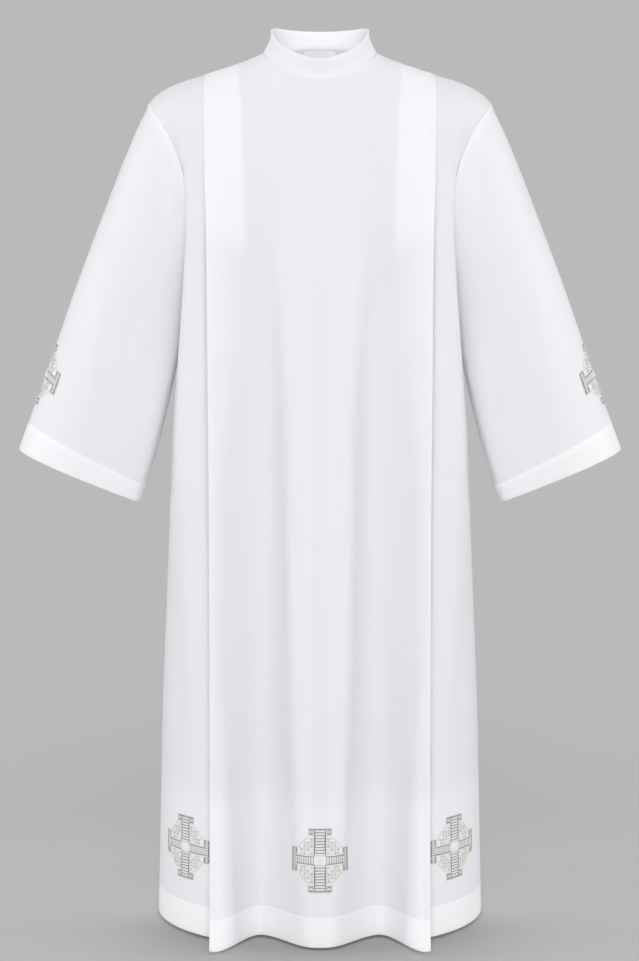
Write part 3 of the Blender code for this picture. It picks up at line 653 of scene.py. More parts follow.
print(len(BODY_CREASES) + len(BACK_CREASES), "creases on each half of the body")

# %% Normals of the body, shared at the seams
CREASE_ROWS = 12  # creases fade in over the first rows
CREASE_HEM, CREASE_LEFT = 0.05, 0.4  # and are weaker over the last 3 cm above the hem


def away_from_edges(sheet):
    return ease(np.arange(len(sheet)) / CREASE_ROWS)[:, None] * ease((sheet[..., 2] - HEM) / CREASE_HEM + CREASE_LEFT)


def body_normals():
    return sheet_normals(front_sheet, 1), sheet_normals(back_sheet, -1)


front_normals, back_normals = body_normals()
middle = front_right.shape[1] - 1
out_from_middle = np.abs(np.arange(front_sheet.shape[1]) - middle)
# The front is creased where it shows, and not in the hidden layers of the pleats.
shows = np.where(out_from_middle <= EDGE_COLUMN - 2, 1.0, np.clip((out_from_middle - SIDE_COLUMN) / 6, 0, 1))
front_sheet = press(front_sheet, front_normals, BODY_CREASES, shows * away_from_edges(front_sheet))
back_sheet = press(back_sheet, back_normals, BACK_CREASES, away_from_edges(back_sheet))
front_normals, back_normals = body_normals()

underarm_row = len(ARMHOLE_ROWS) - 1
for sheet, normals in ((front_sheet, front_normals), (back_sheet, back_normals)):
    normals[0, np.abs(sheet[0, :, 0]) >= NECK_HALF - 1e-6, 1] = 0
    normals[underarm_row:, (0, -1), 1] = 0
    normals[:] = unit(normals)
front_right, back_right = front_sheet[:, middle:], back_sheet[:, back_right.shape[1] - 1 :]
print("creases pressed; the underarm is at row", underarm_row)

# %% [markdown]
# ## The sleeves
#
# A sleeve is a tube. Its first ring is the armhole, so that it meets the body all round, and further down
# each ring is an egg between the sleeve's outer and inner edge. The armhole's shape fades out on the way.


# %% The sleeve's rings
def share_normals(one, other):
    """Gives two edges that meet at a seam the same normals, where their cloth goes on nearly straight."""
    straight = ease(((one * other).sum(axis=-1, keepdims=True) - 0.4) / 0.3)  # by the cosine of their angle
    return unit(one + other * straight), unit(other + one * straight)


SLEEVE_LENGTH = math.hypot(CUFF_OUTER[0] - SHOULDER_TIP[0], CUFF_OUTER[1] - SHOULDER_TIP[1])
RING_STEP = 0.0058 / SLEEVE_LENGTH
CUFF_TURN = 1 - HEM_DEPTH / SLEEVE_LENGTH
SLEEVE_SHARES = np.concatenate(
    [
        filled([0, CUFF_TURN - TURN_STEP / SLEEVE_LENGTH], RING_STEP),
        filled([CUFF_TURN, 1 - LAST_ROWS[0] / SLEEVE_LENGTH], RING_STEP),
        1 - LAST_ROWS[1:] / SLEEVE_LENGTH,
    ]
)


def sleeve_sheet(front, back, edge_normals):
    rows = len(ARMHOLE_ROWS)
    armhole = np.concatenate([front[:rows, -1], back[rows - 2 : 0 : -1, -1]])
    drop = (SHOULDER_TIP[1] - armhole[:, 2]) / (SHOULDER_TIP[1] - UNDERARM[1])
    angle = np.arccos(np.clip(1 - 2 * drop, -1, 1)) * np.where(np.arange(len(armhole)) < rows, 1, -1)

    def ring(share):
        top_z = SHOULDER_TIP[1] + (CUFF_OUTER[1] - SHOULDER_TIP[1]) * share
        low_z = UNDERARM[1] + (CUFF_INNER[1] - UNDERARM[1]) * share
        forward = -SLEEVE_FORWARD * ease(share)
        top = np.array([SLEEVE_OUTER["x"](top_z) - OUTER_EASE * ease(share / SLEEVE_SETTLE), forward, top_z])
        low = np.array([SLEEVE_INNER["x"](low_z), forward, low_z])
        flatter = 1 - SLEEVE_FLATTER * (1 - np.cos(angle)) / 2
        rounded = np.sign(angle) * np.abs(np.sin(angle)) ** flatter
        depth = SLEEVE_HALF_DEPTH * (1 + SLEEVE_EGG * np.cos(angle)) * rounded
        egg = (top + low) / 2 + (top - low) / 2 * np.cos(angle)[:, None]
        return egg - depth[:, None] * (0, 1, 0)

    settle = armhole - ring(0.0)
    fade = 1 - ease(SLEEVE_SHARES / SLEEVE_SETTLE)[:, None, None]
    sheet = np.stack([ring(s) for s in SLEEVE_SHARES]) + settle * fade

    # Where the sleeve turns away from the body sharply, it lies on the outside of the body's edge.
    own = sheet_normals(sheet, -1, closed=True)[0]
    turned = 1 - (own * edge_normals).sum(axis=-1, keepdims=True)
    sharp = np.clip(2 * turned, 0, 1)
    sheet[0] += unit(sheet[1] - sheet[0]) * SEAM_GAP * (1 - sharp)
    return sheet + edge_normals * (CLOTH / 2 * turned + 1.5 * SEAM_GAP * sharp) * fade, angle


front_rows = np.arange(underarm_row + 1)
back_rows = np.arange(underarm_row - 1, 0, -1)
body_edge = np.concatenate([front_normals[front_rows, -1], back_normals[back_rows, -1]])
sleeve, sleeve_angle = sleeve_sheet(front_right, back_right, body_edge)
print("sleeve:", sleeve.shape[0], "rings of", sleeve.shape[1], "points")

# %% Creases of the sleeve, and its seam with the body
SLEEVE_FRONT_CREASES = (
    (0.262, -0.150, 0.250, -0.330, 0.006, 0.013, -0.0030),
    (0.250, -0.110, 0.232, -0.200, 0.002, 0.009, 0.0016),
    (0.290, -0.140, 0.330, -0.330, -0.008, 0.016, 0.0012),
    (0.350, -0.360, 0.380, -0.600, 0.008, 0.014, 0.0016),
    (0.300, -0.380, 0.320, -0.640, 0.006, 0.016, -0.0016),
    (0.262, -0.420, 0.290, -0.660, -0.004, 0.012, -0.0024),
    (0.400, -0.430, 0.440, -0.640, -0.003, 0.012, -0.0010),
)
SLEEVE_BACK_CREASES = (
    (0.255, -0.150, 0.250, -0.340, 0.010, 0.014, -0.0030),
    (0.300, -0.160, 0.340, -0.380, -0.006, 0.016, -0.0018),
    (0.345, -0.380, 0.385, -0.620, 0.006, 0.014, 0.0020),
    (0.280, -0.400, 0.310, -0.650, 0.006, 0.014, -0.0022),
    (0.410, -0.420, 0.450, -0.620, 0.000, 0.012, -0.0012),
)
sleeve_normals = sheet_normals(sleeve, -1, closed=True)
fades = ease(np.arange(len(sleeve)) / 5)[:, None]
for creases, side in ((SLEEVE_FRONT_CREASES, 1), (SLEEVE_BACK_CREASES, -1)):
    sleeve = press(sleeve, sleeve_normals, creases, fades * np.clip(2 * side * np.sin(sleeve_angle), 0, 1))

sleeve_normals = sheet_normals(sleeve, -1, closed=True)
body_edge, sleeve_normals[0] = share_normals(body_edge, sleeve_normals[0])
for edge, flip in ((-1, (1, 1, 1)), (0, (-1, 1, 1))):
    front_normals[front_rows, edge] = body_edge[: len(front_rows)] * flip
    back_normals[back_rows, edge] = body_edge[len(front_rows) :] * flip
back_normals[0, -1], back_normals[0, 0] = front_normals[0, -1], front_normals[0, 0]
print("sleeve creased and matched to the armhole")

# %% [markdown]
# ## The collar
#
# The stand collar is two layers of cloth over a stiff lining, sewn to the neckline and leaning in a little
# towards the neck. It starts from the neckline's own points, so the seam closes all round.


# %% The collar's rings
def collar_sheet(front, back, front_out, back_out):
    """The stand collar, from the neckline's points up to its top edge, closed all round."""
    edge = np.concatenate([front[0, : NECK_COLUMNS + 1], back[0, NECK_COLUMNS - 1 :: -1]])
    normal = np.concatenate([front_out[0, : NECK_COLUMNS + 1], back_out[0, NECK_COLUMNS - 1 :: -1]])
    edge[NECK_COLUMNS, 1] = 0
    flip = (-1, 1, 1)
    edge = np.concatenate([edge, edge[-2:0:-1] * flip])
    normal = np.concatenate([normal, normal[-2:0:-1] * flip])

    tangent = np.roll(edge, -1, axis=0) - np.roll(edge, 1, axis=0)
    inward = unit(np.cross((0, 0, 1), tangent * (1, 1, 0)))
    lean = np.abs((normal * inward).sum(axis=1))
    base = edge + inward * (COLLAR_CLOTH / 2 - SEAM_TUCK + CLOTH / 2 * lean)[:, None] - (0, 0, COLLAR_SINK)

    angle = np.degrees(np.arctan2(np.abs(edge[:, 0]), -edge[:, 1]))
    turn = np.radians(angle)
    depth = np.where(angle < 90, RIM_FRONT, RIM_BACK)
    rim_x = RIM_HALF_WIDTH * np.sin(turn) * np.sign(edge[:, 0])
    rim = points(rim_x, -depth * np.cos(turn), COLLAR_RIM["z"](angle))

    rows = np.concatenate([[1, 0.995, 0.98], np.linspace(0.95, 0, 16)])  # 1 is the top edge
    hollow = COLLAR_HOLLOW * np.sin(np.pi * rows)
    return base + (rim - base) * rows[:, None, None] + inward * hollow[:, None, None], rows, angle


front_out, back_out = front_normals[:, middle:], back_normals[:, back_sheet.shape[1] // 2 :]
collar, collar_rows, collar_angle = collar_sheet(front_right, back_right, front_out, back_out)
print("collar:", collar.shape[0], "rings of", collar.shape[1], "points")

# %% [markdown]
# ## From points to cloth
#
# `sew` turns a panel's grid into a thin closed shell: an outer and an inner face, joined round the edges. Each
# panel carries its own map, in metres of cloth, so that the weave has its real size everywhere. It also
# carries how many layers lie on each other there, because white cloth looks whiter where it is double, and
# how much painted light is added to that.


# %% Sewing a panel
def mark(mesh, name, kind, values):
    """Gives every point of a mesh a value of its own."""
    word = {"FLOAT": "value", "FLOAT_VECTOR": "vector", "FLOAT_COLOR": "color"}[kind]
    mesh.attributes.new(name, kind, "POINT").data.foreach_set(word, np.ravel(values))


def cloth_map(sheet, closed=False):
    """How far along and how far down the cloth each point lies, in metres, from the middle of the top edge."""
    if closed:
        sheet = np.concatenate([sheet, sheet[:, :1]], axis=1)
    steps = np.linalg.norm(np.diff(sheet, axis=1), axis=-1)
    u = np.concatenate([np.zeros((len(sheet), 1)), np.cumsum(steps, axis=1)], axis=1)
    if not closed:
        u -= u[:, sheet.shape[1] // 2][:, None]
    steps = np.linalg.norm(np.diff(sheet, axis=0), axis=-1)
    v = np.concatenate([np.zeros((1, sheet.shape[1])), np.cumsum(steps, axis=0)])
    return np.stack([u, v], axis=-1)


def sew(name, outer, inner, layers, look, closed=False):
    """A closed thin shell between an outer and an inner grid of points."""
    rows, columns = outer.shape[:2]
    last = columns if closed else columns - 1
    spots = np.arange(rows * columns).reshape(rows, columns)
    spots = np.concatenate([spots, spots[:, :1]], axis=1)[:, : last + 1]
    marks = np.arange(rows * (last + 1)).reshape(rows, last + 1)
    lining = rows * columns

    def squares(grid):
        return np.stack([grid[:-1, :-1], grid[1:, :-1], grid[1:, 1:], grid[:-1, 1:]], axis=-1).reshape(-1, 4)

    corners = [squares(spots), squares(spots)[:, ::-1] + lining]
    stamps = [squares(marks), squares(marks)[:, ::-1]]
    edges = [(spots[0], marks[0]), (spots[-1, ::-1], marks[-1, ::-1])]
    if not closed:
        edges += [(spots[::-1, 0], marks[::-1, 0]), (spots[:, -1], marks[:, -1])]
    for line, stamp in edges:
        corners.append(np.stack([line[:-1], line[1:], line[1:] + lining, line[:-1] + lining], axis=-1))
        stamps.append(np.stack([stamp[:-1], stamp[1:], stamp[1:], stamp[:-1]], axis=-1))
    corners, stamps = np.concatenate(corners), np.concatenate(stamps)

    first = outer[1, 0] - outer[0, 0], outer[1, 1] - outer[0, 0]
    if np.dot(np.cross(*first), outer[0, 0] - inner[0, 0]) < 0:
        corners, stamps = corners[:, ::-1], stamps[:, ::-1]
    mesh = bpy.data.meshes.new(name)
    mesh.from_pydata(np.concatenate([outer.reshape(-1, 3), inner.reshape(-1, 3)]).tolist(), [], corners.tolist())
    cloth = mesh.uv_layers.new(name="cloth")
    cloth.uv.foreach_set("vector", cloth_map(outer, closed)[:, : last + 1].reshape(-1, 2)[stamps].ravel())
    mark(mesh, "layers", "FLOAT", [layers, layers])
    mesh.shade_smooth()
    mesh.set_sharp_from_angle(angle=math.radians(50))
    mesh.materials.append(look)
    print(f"{name}: {len(mesh.polygons) * 2} triangles")
    return placed(name, mesh)


# %% [markdown]
# ## Shader maths that reads like maths
#
# A `Wire` is one socket of a material. Adding or multiplying wires adds the Math nodes, so a formula can be
# written as a formula. Every other node comes from its `node` method.


# %% A wire
class Wire:
    """A socket in a material, which can be used in sums."""

    def __init__(self, tree, socket=None):
        self.tree, self.socket = tree, socket

    def node(self, kind, settings=(), values=(), output=0):
        """Adds a node: its settings first, then the values or wires of its sockets."""
        made = self.tree.nodes.new(kind)
        for name, value in dict(settings).items():
            if name == "stops":
                for stop, (place, colour) in zip(made.color_ramp.elements, value):
                    stop.position, stop.color = place, colour
            else:
                setattr(made, name, value)
        for name, value in dict(values).items():
            if isinstance(value, Wire):
                self.tree.links.new(value.socket, made.inputs[name])
            else:
                made.inputs[name].default_value = value
        return Wire(self.tree, made.outputs[output])

    def maths(self, operation, *values):
        return self.node("ShaderNodeMath", {"operation": operation}, dict(enumerate(values)))

    def __add__(self, other):
        return self.maths("ADD", self, other)

    def __sub__(self, other):
        return self.maths("SUBTRACT", self, other)

    def __rsub__(self, other):
        return self.maths("SUBTRACT", other, self)

    def __mul__(self, other):
        return self.maths("MULTIPLY", self, other)

    __radd__, __rmul__ = __add__, __mul__

    def mix(self, low, high):
        """A colour from low to high, where this wire goes from 0 to 1."""
        values = {0: self, 6: low, 7: high}
        return self.node("ShaderNodeMix", {"data_type": "RGBA"}, values, output=2)

    def tinted(self, shade):
        """This colour multiplied by another."""
        settings = {"data_type": "RGBA", "blend_type": "MULTIPLY"}
        return self.node("ShaderNodeMix", settings, {0: 1.0, 6: self, 7: shade}, output=2)

    def into(self, socket):
        self.tree.links.new(self.socket, socket)


def finish_named(name, **uniform):
    """A new material's tree as a wire, and its shader node. The numbers in uniform are the same all over."""
    made = bpy.data.materials.new(name)
    made.use_nodes = True
    shader = made.node_tree.nodes["Principled BSDF"]
    for socket, value in uniform.items():
        shader.inputs[socket.replace("_", " ")].default_value = value
    return made, Wire(made.node_tree), shader


print("a wire can be added, subtracted and multiplied, from either side")

# %% [markdown]
# ## The white cloth
#
# Plain woven cloth has threads that go over and under each other, here 22 to the centimetre. That relief is far
# too fine to model, so it is bump. The threads vary a little in thickness, and pressed cloth still keeps a
# faint unevenness. The colour goes from one layer's to several layers', as the panel's `layers` say,
# which hold its layers and its painted light.


# %% White cloth
SLUB_THICK, SLUB_LONG = 0.0009, 0.018  # a thicker stretch of thread


def own_place(start):
    """Where a point lies, measured in its own piece."""
    return start.node("ShaderNodeTexCoord", {}, {}, output=3)


def woven(name, single, several, pitch=0.00045, rough=0.82, unevenness=1.0):
    made, start, shader = finish_named(name, Roughness=rough, Sheen_Weight=0.12, Sheen_Roughness=0.5)
    spot = start.node("ShaderNodeUVMap", {"uv_map": "cloth"})
    u = start.node("ShaderNodeSeparateXYZ", {}, {0: spot}, output=0)
    v = start.node("ShaderNodeSeparateXYZ", {}, {0: spot}, output=1)
    turn = math.pi / pitch
    weave = (u * turn).maths("SINE", u * turn) * (v * turn).maths("SINE", v * turn)

    def threads(across, along):
        stretched = start.node("ShaderNodeCombineXYZ", {}, {0: u * across, 1: v * along})
        return start.node("ShaderNodeTexNoise", {}, {"Vector": stretched, "Scale": 1.0, "Detail": 1.0})

    slub = threads(1 / SLUB_THICK, 1 / SLUB_LONG) + threads(1 / SLUB_LONG, 1 / SLUB_THICK)
    soft = start.node("ShaderNodeTexNoise", {}, {"Vector": own_place(start), "Scale": 21.0, "Detail": 2.0})

    fine = start.node("ShaderNodeBump", {}, {"Strength": 0.35, "Distance": 0.00006, "Height": weave + slub * 0.8})
    relief = {"Strength": 0.35 * unevenness, "Distance": 0.0012, "Height": soft, "Normal": fine}
    start.node("ShaderNodeBump", {}, relief).into(shader.inputs["Normal"])

    layers = start.node("ShaderNodeAttribute", {"attribute_name": "layers"}, output=2)
    whiter = ((layers - 1.0) * 0.5).node("ShaderNodeClamp", {}, {0: (layers - 1.0) * 0.5})
    plain = whiter.mix((*single, 1), (*several, 1))
    shaded = (slub * 0.5).mix((0.975, 0.975, 0.975, 1), (1, 1, 1, 1))
    plain.tinted(shaded).into(shader.inputs["Base Color"])
    return made


WHITE_CLOTH = woven("white cloth", (0.797, 0.804, 0.836), (0.955, 0.952, 0.978))
# The collar cloth goes from lilac, which stands for painted shade, to white.
COLLAR_WHITE_AND_PAINTED_SHADE = woven("white collar cloth", (0.765, 0.765, 0.840), (0.885, 0.887, 0.920), unevenness=0.4)
print("white cloth and collar cloth are ready")

# %% [markdown]
# ## Sewing the front and the back
#
# The hems are double: the cloth turns up inside, so the inner face steps in there, and a faint ridge shows
# outside where the turned edge is caught. The pleat's three layers show as a whiter strip from the shoulder,
# which fades where the pleat opens. Below that, a whiter band along the pleat's edge stands for its layers and
# for a painted highlight, and fades lower down.


# %% Thickness, layers and painted light
# How much whiter the cloth is than one layer, in layers: turned up, at the turned edge, with the backing behind
# the embroidery, in the closed pleat, and at the edge of the open pleat, above and how much less below. At the
# open pleat's edge this is its layers and a painted highlight.
TURNED, TURNED_EDGE, BACKED, PLEATED, PLEAT_EDGE_LAYERS_AND_HIGHLIGHT, PLEAT_EDGE_LESS = 1.5, 0.4, 0.6, 1.05, 0.8, 0.35
# From which height down, and over how much, each of these changes.
BACKING_STARTS, PLEAT_PARTS = (-1.14, 0.06), (-0.275, 0.090)
STRIP_NARROWS, STRIP_FADES = (-0.40, 0.30), (-0.50, 0.40)
# These say how far the whiter band at the pleat's edge, its layers and painted highlight, reaches.
STRIP_EDGE, STRIP_REACH, STRIP_WIDER = 0.010, 0.016, 0.045  # how far from the pleat's edge its layers show


def turned_up(rows, turned, layer=CLOTH):
    """How far a panel's outer and inner face lie from its middle, row by row, with a turned-up hem."""
    outer, inner = np.full(rows, layer / 2), np.full(rows, -layer / 2)
    inner[-turned:] -= layer
    for i, share in ((-2, 0.3), (-1, 0.85)):
        centre = (outer[i] + inner[i]) / 2
        outer[i], inner[i] = (face + (centre - face) * share for face in (outer[i], inner[i]))
    return outer, inner


def turn_ridge(down, row):
    """The faint line outside, over the edge of the turned-up cloth."""
    return hill(down, down[row] + 0.001, 0.0022, 0.00030)


hem_row = len(ARMHOLE_ROWS) + len(SKIRT_ROWS)
turned_rows = len(ROW_DROPS) - hem_row
hem_layers = np.where(np.arange(len(ROW_DROPS)) >= hem_row, TURNED, 0.0)[:, None]
hem_layers[hem_row : hem_row + 2] += TURNED_EDGE
z = front_sheet[..., 2]
closed_above = 1 - below(z, *PLEAT_PARTS)
from_edge = np.abs(np.abs(front_sheet[..., 0]) - FOLDS["pleat_x"](z))
in_strip = (out_from_middle >= TUCK_COLUMN) & (out_from_middle <= EDGE_COLUMN + 2)
reach = STRIP_REACH + STRIP_WIDER * (1 - below(z, *STRIP_NARROWS))
# A painted highlight along the open pleat's edge, over its layers.
at_edge = (PLEAT_EDGE_LAYERS_AND_HIGHLIGHT - PLEAT_EDGE_LESS * below(z, *STRIP_FADES)) * (1 - ease((from_edge - STRIP_EDGE) / reach))
strip = in_strip * np.maximum(closed_above * PLEATED, at_edge)
front_layers_and_light = 1.0 + strip + hem_layers + BACKED * below(z, *BACKING_STARTS)
back_layers = 1.0 + hem_layers + BACKED * below(back_sheet[..., 2], *BACKING_STARTS)
print("turned-up rows:", turned_rows, "most layers in the front:", round(float(front_layers_and_light.max()), 1))

# %% Front and back
outer_face, inner_face = turned_up(len(ROW_DROPS), turned_rows)


def skins(sheet, normals):
    """The outer and the inner face of a panel."""
    ridge = turn_ridge(cloth_map(sheet)[..., 1], hem_row)
    return sheet + normals * (outer_face[:, None] + ridge)[..., None], sheet + normals * inner_face[:, None, None]


front_skins, back_skins = skins(front_sheet, front_normals), skins(back_sheet, back_normals)
front = sew("robe_front", *front_skins, front_layers_and_light, WHITE_CLOTH)
back = sew("robe_back", *back_skins, back_layers, WHITE_CLOTH)

# %% [markdown]
# ## Sewing the sleeves
#
# The seam allowance at the armhole is pressed towards the sleeve, so a soft ridge follows the seam. The cuff
# is turned up like the hem. The sleeves are painted whiter all over, painted light, and whiter still along the
# armhole, for the doubled seam allowance and a painted highlight.

# %% Sleeves
# The sleeves are painted whiter than one layer all over: painted light. The cuff adds its turned-up layer to it.
SLEEVE_PAINTED_LIGHT, CUFF_LAYERS_AND_LIGHT = 1.5, 2.5  # front and back of a sleeve lie close, and are seen through each other
# Along the armhole the cloth is whiter for the doubled seam allowance, and for a painted highlight.
CUFF_EDGE, ARMHOLE_SEAM_AND_HIGHLIGHT = 0.6, 0.8
cuff_row = int(np.sum(SLEEVE_SHARES < CUFF_TURN - 0.2 * TURN_STEP / SLEEVE_LENGTH))
cuff_outer, cuff_inner = turned_up(len(SLEEVE_SHARES), len(SLEEVE_SHARES) - cuff_row)
down_sleeve = SLEEVE_SHARES * SLEEVE_LENGTH
armhole_ridge = hill(down_sleeve, 0.006, 0.005, 0.0011)
sleeve_layers_and_light = np.where(np.arange(len(SLEEVE_SHARES)) >= cuff_row, CUFF_LAYERS_AND_LIGHT, SLEEVE_PAINTED_LIGHT)
sleeve_layers_and_light[cuff_row : cuff_row + 2] += CUFF_EDGE
sleeve_layers_and_light += hill(down_sleeve, 0, 0.012, ARMHOLE_SEAM_AND_HIGHLIGHT)
sleeve_layers_and_light = np.repeat(sleeve_layers_and_light[:, None], sleeve.shape[1], axis=1)
sleeve_skins = (
    sleeve + sleeve_normals * (cuff_outer + armhole_ridge + turn_ridge(down_sleeve, cuff_row))[:, None, None],
    sleeve + sleeve_normals * cuff_inner[:, None, None],
)
sleeves = {}
for side, word in ((1, "right"), (-1, "left")):
    mirrored = [face * (side, 1, 1) for face in sleeve_skins]
    sleeves[word] = sew(f"robe_sleeve_{word}", *mirrored, sleeve_layers_and_light, WHITE_CLOTH, closed=True)

# %% [markdown]
# ## The collar's cloth
#
# The collar's top edge is rounded, because its cloth turns over there. A line of stitches holds it 5 mm
# down, and pulls the cloth in a little. Its colour carries painted light: a highlight along the top edge,
# lilac shade below it, and lighter again towards the seam.

# %% Collar
collar_normals = sheet_normals(collar, -1, closed=True)
collar_down = (1 - collar_rows)[:, None] * np.linalg.norm(collar[0] - collar[-1], axis=-1)[None, :]
plump = 1 + hill(collar_down, 0.0026, 0.0019, 0.55) + hill(collar_down, 0.0056, 0.0012, -0.25)
plump[:2] *= [[0.30], [0.75]]  # the rounded top edge
# Columns: its angle round the neck, the share of the collar's height there, half width in degrees, height.
COLLAR_CREASES = ((66, 0.5, 10, 0.0009), (84, 0.35, 7, -0.0010), (104, 0.55, 12, 0.0008), (140, 0.5, 16, -0.0006))
CREASE_LEAN = 22  # degrees from the seam to the top edge
wave = np.zeros(collar.shape[:2])
for at, share, wide, high in COLLAR_CREASES:
    wave += hill(collar_angle + CREASE_LEAN * (collar_rows[:, None] - share), at, wide, high)
wave *= np.sin(np.pi * collar_rows)[:, None]
shifted = collar + collar_normals * wave[..., None]
collar_half = (COLLAR_CLOTH / 2 * plump)[..., None] * collar_normals
# Painted light on the collar: whiter along its top edge, a painted highlight; the lilac of the cloth in its middle, a
# painted shade; and whiter towards the seam, painted light.
COLLAR_LAYERS, RIM_PAINTED_HIGHLIGHT, COLLAR_BASE_PAINTED_LIGHT = 1.6, 1.2, 0.9
collar_layers_and_light = COLLAR_LAYERS + hill(collar_down, 0, 0.005, RIM_PAINTED_HIGHLIGHT)
collar_layers_and_light += COLLAR_BASE_PAINTED_LIGHT * ease((collar_down / collar_down[-1] - 0.45) / 0.35)
neck_band = sew("robe_collar", shifted + collar_half, shifted - collar_half, collar_layers_and_light, COLLAR_WHITE_AND_PAINTED_SHADE, closed=True)
rounder = neck_band.modifiers.new("rounder", "SUBSURF")
rounder.levels = rounder.render_levels = 1

# %% [markdown]
# ## Stitches
#
# A sewn line is the same small stitch again and again along a path, so Geometry Nodes make it. The tree takes
# a path, puts a point on it every few millimetres, and lays a rounded stitch along the path at each point.
# The stitches are then turned into a plain mesh, and the path is no longer needed.


# %% A tree that puts a bead at every point
def new_tree(name, inputs, output):
    """A tree with its inputs as wires. Each input says its name, its kind and its value."""
    tree = bpy.data.node_groups.new(name, "GeometryNodeTree")
    for label, kind, value in inputs:
        socket = tree.interface.new_socket(name=label, in_out="INPUT", socket_type="NodeSocket" + kind)
        if value is not None:
            socket.default_value = value
    tree.interface.new_socket(name=output, in_out="OUTPUT", socket_type="NodeSocketGeometry")
    given = tree.nodes.new("NodeGroupInput")
    return Wire(tree), [Wire(tree, socket) for socket in given.outputs[: len(inputs)]]


def beads_on(start, finish, values):
    """Ends a tree: a bead on every point, as real mesh with its finish."""
    beads = start.node("GeometryNodeInstanceOnPoints", {}, values)
    real = start.node("GeometryNodeRealizeInstances", {}, {0: beads})
    done = start.node("GeometryNodeSetMaterial", {}, {"Geometry": real, "Material": finish})
    done.into(start.tree.nodes.new("NodeGroupOutput").inputs[0])
    return start.tree


print("a bead is one small mesh, which stands for a stitch or a rung")


# %% A row of stitches
STITCH_INPUTS = (
    ("Path", "Geometry", None),
    ("Pitch", "Float", 0.0034),
    ("Stitch length", "Float", 0.0026),
    ("Thread", "Float", 0.0005),
    ("Flatness", "Float", 1.0),
    ("Unevenness", "Float", 0.12),
    ("Seed", "Int", 7),
    ("Thread finish", "Material", None),
)


def stitch_row_tree():
    start, given = new_tree("row of stitches", STITCH_INPUTS, "Stitches")
    path, pitch, length, thread, flat, uneven, seed, finish = given
    curve = start.node("GeometryNodeMeshToCurve", {}, {0: path})
    spots = start.node("GeometryNodeCurveToPoints", {"mode": "LENGTH"}, {"Curve": curve, "Length": pitch})
    tangent = Wire(start.tree, spots.socket.node.outputs["Tangent"])
    along = start.node("FunctionNodeAlignRotationToVector", {"axis": "X"}, {"Vector": tangent})
    dice = start.node("FunctionNodeRandomValue", {"data_type": "FLOAT"}, {2: -1.0, 3: 1.0, "Seed": seed}, output=1)
    longer = length * 0.5 * (dice * uneven + 1.0)
    size = start.node("ShaderNodeCombineXYZ", {}, {0: longer, 1: thread * 0.5, 2: thread * 0.5 * flat})
    bead = start.node("GeometryNodeMeshUVSphere", {}, {"Segments": 6, "Rings": 4, "Radius": 1.0})
    return beads_on(start, finish, {"Points": spots, "Instance": bead, "Rotation": along, "Scale": size})


STITCH_ROW = stitch_row_tree()
print("the tree has", len(STITCH_ROW.nodes), "nodes")


# %% Making the mesh that a tree describes
def grown(name, seed_mesh, tree, **inputs):
    """The plain mesh that a node tree makes from seed_mesh, as a new object."""
    made = placed(name, seed_mesh)
    grower = made.modifiers.new("grower", "NODES")
    grower.node_group = tree
    for socket in tree.interface.items_tree:
        word = socket.name.replace(" ", "_")
        if word in inputs:
            grower[socket.identifier] = inputs[word]
    result = bpy.data.meshes.new_from_object(made.evaluated_get(bpy.context.evaluated_depsgraph_get()))
    made.modifiers.remove(grower)
    made.data = result
    return made


def paths_mesh(name, paths):
    """A mesh of lines: each path is its points, and whether it is closed."""
    spots, lines, first = [], [], 0
    for line, closed in paths:
        spots += np.asarray(line).tolist()
        lines += [(first + i, first + i + 1) for i in range(len(line) - 1)]
        if closed:
            lines.append((first + len(line) - 1, first))
        first += len(line)
    mesh = bpy.data.meshes.new(name)
    mesh.from_pydata(spots, lines, [])
    return mesh


print("a tree's inputs:", ", ".join(label for label, *_ in STITCH_INPUTS))

# %% [markdown]
# The thread is white cotton with a slight shine. Its fine fibres are bump.


# %% Sewing thread
def sewing_thread(name, colour, rough=0.55):
    made, start, shader = finish_named(name, Roughness=rough, Sheen_Weight=0.1)
    fibre = start.node("ShaderNodeTexNoise", {}, {"Vector": own_place(start), "Scale": 2600.0, "Detail": 1.0})
    bump = start.node("ShaderNodeBump", {}, {"Strength": 0.4, "Distance": 0.0001, "Height": fibre})
    bump.into(shader.inputs["Normal"])
    dark = tuple(c * 0.88 for c in colour)
    fibre.mix((*dark, 1), (*colour, 1)).into(shader.inputs["Base Color"])
    return made


WHITE_THREAD = sewing_thread("white sewing thread", (0.84, 0.84, 0.865))
print("thread finish:", WHITE_THREAD.name)


# %% Sewn lines of the robe
def row_path(skin, normals, row, out=0.00012):
    """The points of a panel's face along one row, or between two, lifted off it a little."""
    low = int(math.floor(row))
    share = row - low
    return skin[low] * (1 - share) + skin[low + 1] * share + normals[low] * out


def shown_parts(line):
    """The front's row without the hidden layers of the pleats, as three paths."""
    left, right = middle - SIDE_COLUMN, middle + SIDE_COLUMN
    return [line[: left - 1], line[middle - EDGE_COLUMN - 3 : middle + EDGE_COLUMN + 4], line[right + 2 :]]


HEM_PITCH, ARMHOLE_PITCH = 0.0036, 0.0032
CAUGHT = 0.8  # how many rows below the turned-up edge the stitches run
sewn = {}


def sew_line(name, paths, pitch, **sizes):
    mesh = paths_mesh(name, paths)
    sewn[name] = grown(name, mesh, STITCH_ROW, Pitch=pitch, Thread_finish=WHITE_THREAD, **sizes)


front_hem = row_path(front_skins[0], front_normals, hem_row + CAUGHT)
back_hem = row_path(back_skins[0], back_normals, hem_row + CAUGHT)
sew_line("stitches_hem", [(part, False) for part in (*shown_parts(front_hem), back_hem)], HEM_PITCH)
print("hem stitches:", len(sewn["stitches_hem"].data.polygons), "faces")

